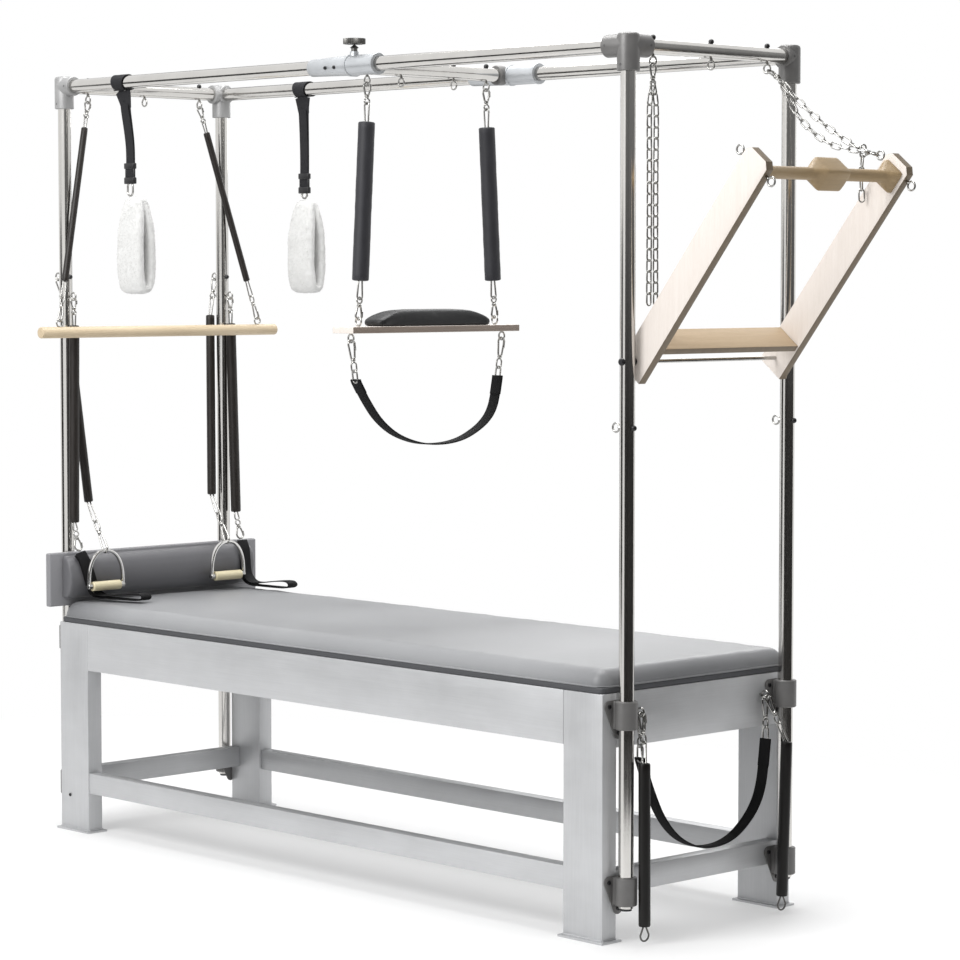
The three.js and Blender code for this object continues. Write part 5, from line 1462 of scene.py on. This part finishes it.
def fleeceStrap(row, across):
    spec = fleece[row]
    wrap, at, top = spec["wrap"], spec["buckle"], spec["top"]
    y, z, outer = across * tube["y"], tube["rail"], tube["radius"] + choke["gap"]
    shape = Shape()
    for way in (-1, 1):  # two wraps that cross under the rail
        route = []
        for n in range(33):
            angle = pi * (-0.5 + 2 * n / 32)
            x = wrap + way * choke["spread"] + way * choke["cross"] * cos(angle / 2 + pi / 4)
            route.append(Vector((x, y + outer * cos(angle), z + outer * sin(angle))))
        shape.add(swept(route, rounded(*choke["wrapBand"]), xAxis), "strapGrey")
    neck, throat, foot = z - outer, z - choke["throat"], top - choke["tail"]
    middle = (wrap + at) / 2
    for way in (-1, 1):
        side = y + way * choke["apart"]
        points = [(wrap + way * 16, y - 3 * across, neck - 1), (middle + way * 8, y - 2, throat + 26),
                  (middle + way * 2, side, throat), (at + 1, side, (throat + foot) / 2), (at, side, foot)]
        shape.add(swept(smooth(points, 7), rounded(*choke["tailBand"]), xAxis), "strapGrey")
    a, b, thick = at - buckle["half"], at + buckle["half"], buckle["thick"]
    for low, high in buckle["bars"]:
        shape.add(block((a, y - thick, top - low), (b, y + thick, top - high), 2.5, 3), "blackPlastic")
    for x in (a + buckle["inset"], b - buckle["inset"]):
        shape.add(rod((x, y, top - 50), (x, y, top - 8), buckle["rod"], 0.8, 12), "blackPlastic")
    hookTop, hookFoot = (at, y, foot + 3), (at, y, fleece["high"] - spec["dip"] + 3)
    shape.add(loop(hookTop, hookFoot, *choke["hook"], xAxis), "chrome")
    shape.make(f"fleece_strap_{row}", f"fleece_{row}", sharp=50)


tuftEntries = {"Tuft": "Object", "Density": "Float", "Seed": "Int", "Pile": "Material"}
tuftNodes = nodeTree("fleeceTufts", tuftEntries, {
    "scatter": ("GeometryNodeDistributePointsOnFaces", {}),
    "info": ("GeometryNodeObjectInfo", {}),
    "lay": ("GeometryNodeInstanceOnPoints", {}),
    "jitter": ("FunctionNodeRandomValue",
               {"data_type": "FLOAT_VECTOR", "Min": (-0.7, -0.7, -3.14), "Max": (0.7, 0.7, 3.14)}),
    "sizes": ("FunctionNodeRandomValue", {"data_type": "FLOAT", 2: 0.6, 3: 1.25}),
    "rotate": ("GeometryNodeRotateInstances", {}),
    "both": ("GeometryNodeJoinGeometry", {}),
    "realize": ("GeometryNodeRealizeInstances", {}),
    "paint": ("GeometryNodeSetMaterial", {}),
}, [
    "start.Geometry > scatter.Mesh", "start.Density > scatter.Density", "start.Seed > scatter.Seed",
    "start.Seed > jitter.Seed", "start.Seed > sizes.Seed", "start.Tuft > info.Object",
    "scatter.Points > lay.Points", "scatter.Rotation > lay.Rotation", "info.Geometry > lay.Instance",
    "sizes.1 > lay.Scale", "lay.Instances > rotate.Instances", "jitter.0 > rotate.Rotation",
    "rotate.Instances > both.Geometry", "start.Geometry > both.Geometry", "both.Geometry > realize.Geometry",
    "realize.Geometry > paint.Geometry", "start.Pile > paint.Material", "paint.Geometry > end.Geometry",
])


def fleeceLoop(row, across):
    spec = fleece[row]
    pile, wall = fleece["pile"], fleece["wall"]
    y, rise = across * tube["y"], (fleece["high"] - fleece["low"]) / 2
    rows, count, full, narrow = fleece["rows"], fleece["around"], fleece["fullness"], fleece["narrowing"]
    reachUp, deep = rise - pile - wall / 2, fleece["depth"] / 2 - pile - wall / 2
    points = []
    for n in range(rows):
        turn = 2 * pi * n / rows
        up, out = cos(turn), sin(turn)
        above = max(0, (up + narrow["from"]) / (1 + narrow["from"]))
        spread = deep * (1 - narrow["share"] * above ** narrow["power"])  # narrower where it hangs
        high = fleece["low"] + rise + bulge(up, full["up"]) * reachUp
        core = Vector((spec["loop"], y + bulge(out, full["out"]) * spread, high))
        slope = Vector((0, out * 0.9 / max(spread, 1), up / reachUp)).normalized()
        width = fleece["width"] / 2 - pile + 1 - 15 * max(0, up + 0.1) ** 2
        for a, c in circle(1, count):
            aside, inward = bulge(a, full["width"]) * width, bulge(c, full["depth"]) * wall / 2
            points.append(core + xAxis * aside + slope * inward)
    shape = Shape().add((points, skinFaces(rows, count, True)), "fleece")
    piece = shape.make(f"fleece_loop_{row}", sharp=80, ready=False)
    recalculate(piece)
    subdivide(piece)
    for vertex in piece.data.vertices:
        vertex.co += vertex.normal * sum(noise(vertex.co * fine) * deep for fine, deep in fleece["curl"])
    tuft = seedPiece("tuft", turned(fleece["tuft"], (0, 0, -0.9), zAxis, 5))
    setTree(piece, tuftNodes, {"Tuft": tuft, "Density": fleece["tufts"], "Seed": spec["seed"],
                               "Pile": finishes["fleece"][0].material})
    bake(piece)
    bpy.data.objects.remove(tuft)
    piece.data.shade_smooth()
    settle(piece, f"fleece_{row}", f"fleece_loop_{row}")


for row, across in sides.items():
    fleeceStrap(row, across)
    fleeceLoop(row, across)
print("fleece loops made")

# Lower springs and strap at the foot end
lower = {"near": ((1184, 268, 448), (1190, 272, 44)), "far": ((1184, 262, 446), (1180, 252, 46)),
         "ring": (5, 2.3), "ringFrom": 4, "ringTo": 35.5}


def lowerSprings():
    out, y, z = table["endEyes"]
    for row, across in sides.items():
        top = Vector((halfLength + out + hookDrop, across * y, z))
        sleeveTop, sleeveFoot = mirrored(lower[row], across)
        shape = sling("lower", (top, sleeveTop, sleeveFoot), (top - sleeveTop).normalized() * 5)
        down = (sleeveFoot - sleeveTop).normalized()
        ringTop, ringFoot = sleeveFoot - down * lower["ringFrom"], sleeveFoot + down * lower["ringTo"]
        shape.add(loop(ringTop, ringFoot, *lower["ring"], yAxis, 15), "knurled")
        shape.make(f"lower_spring_{row}", f"lower_spring_{row}", slot="webbing")


lowerSprings()
hungStrap("lower").make("lower_strap", "lower_strap", sharp=50)
print("lower springs made")
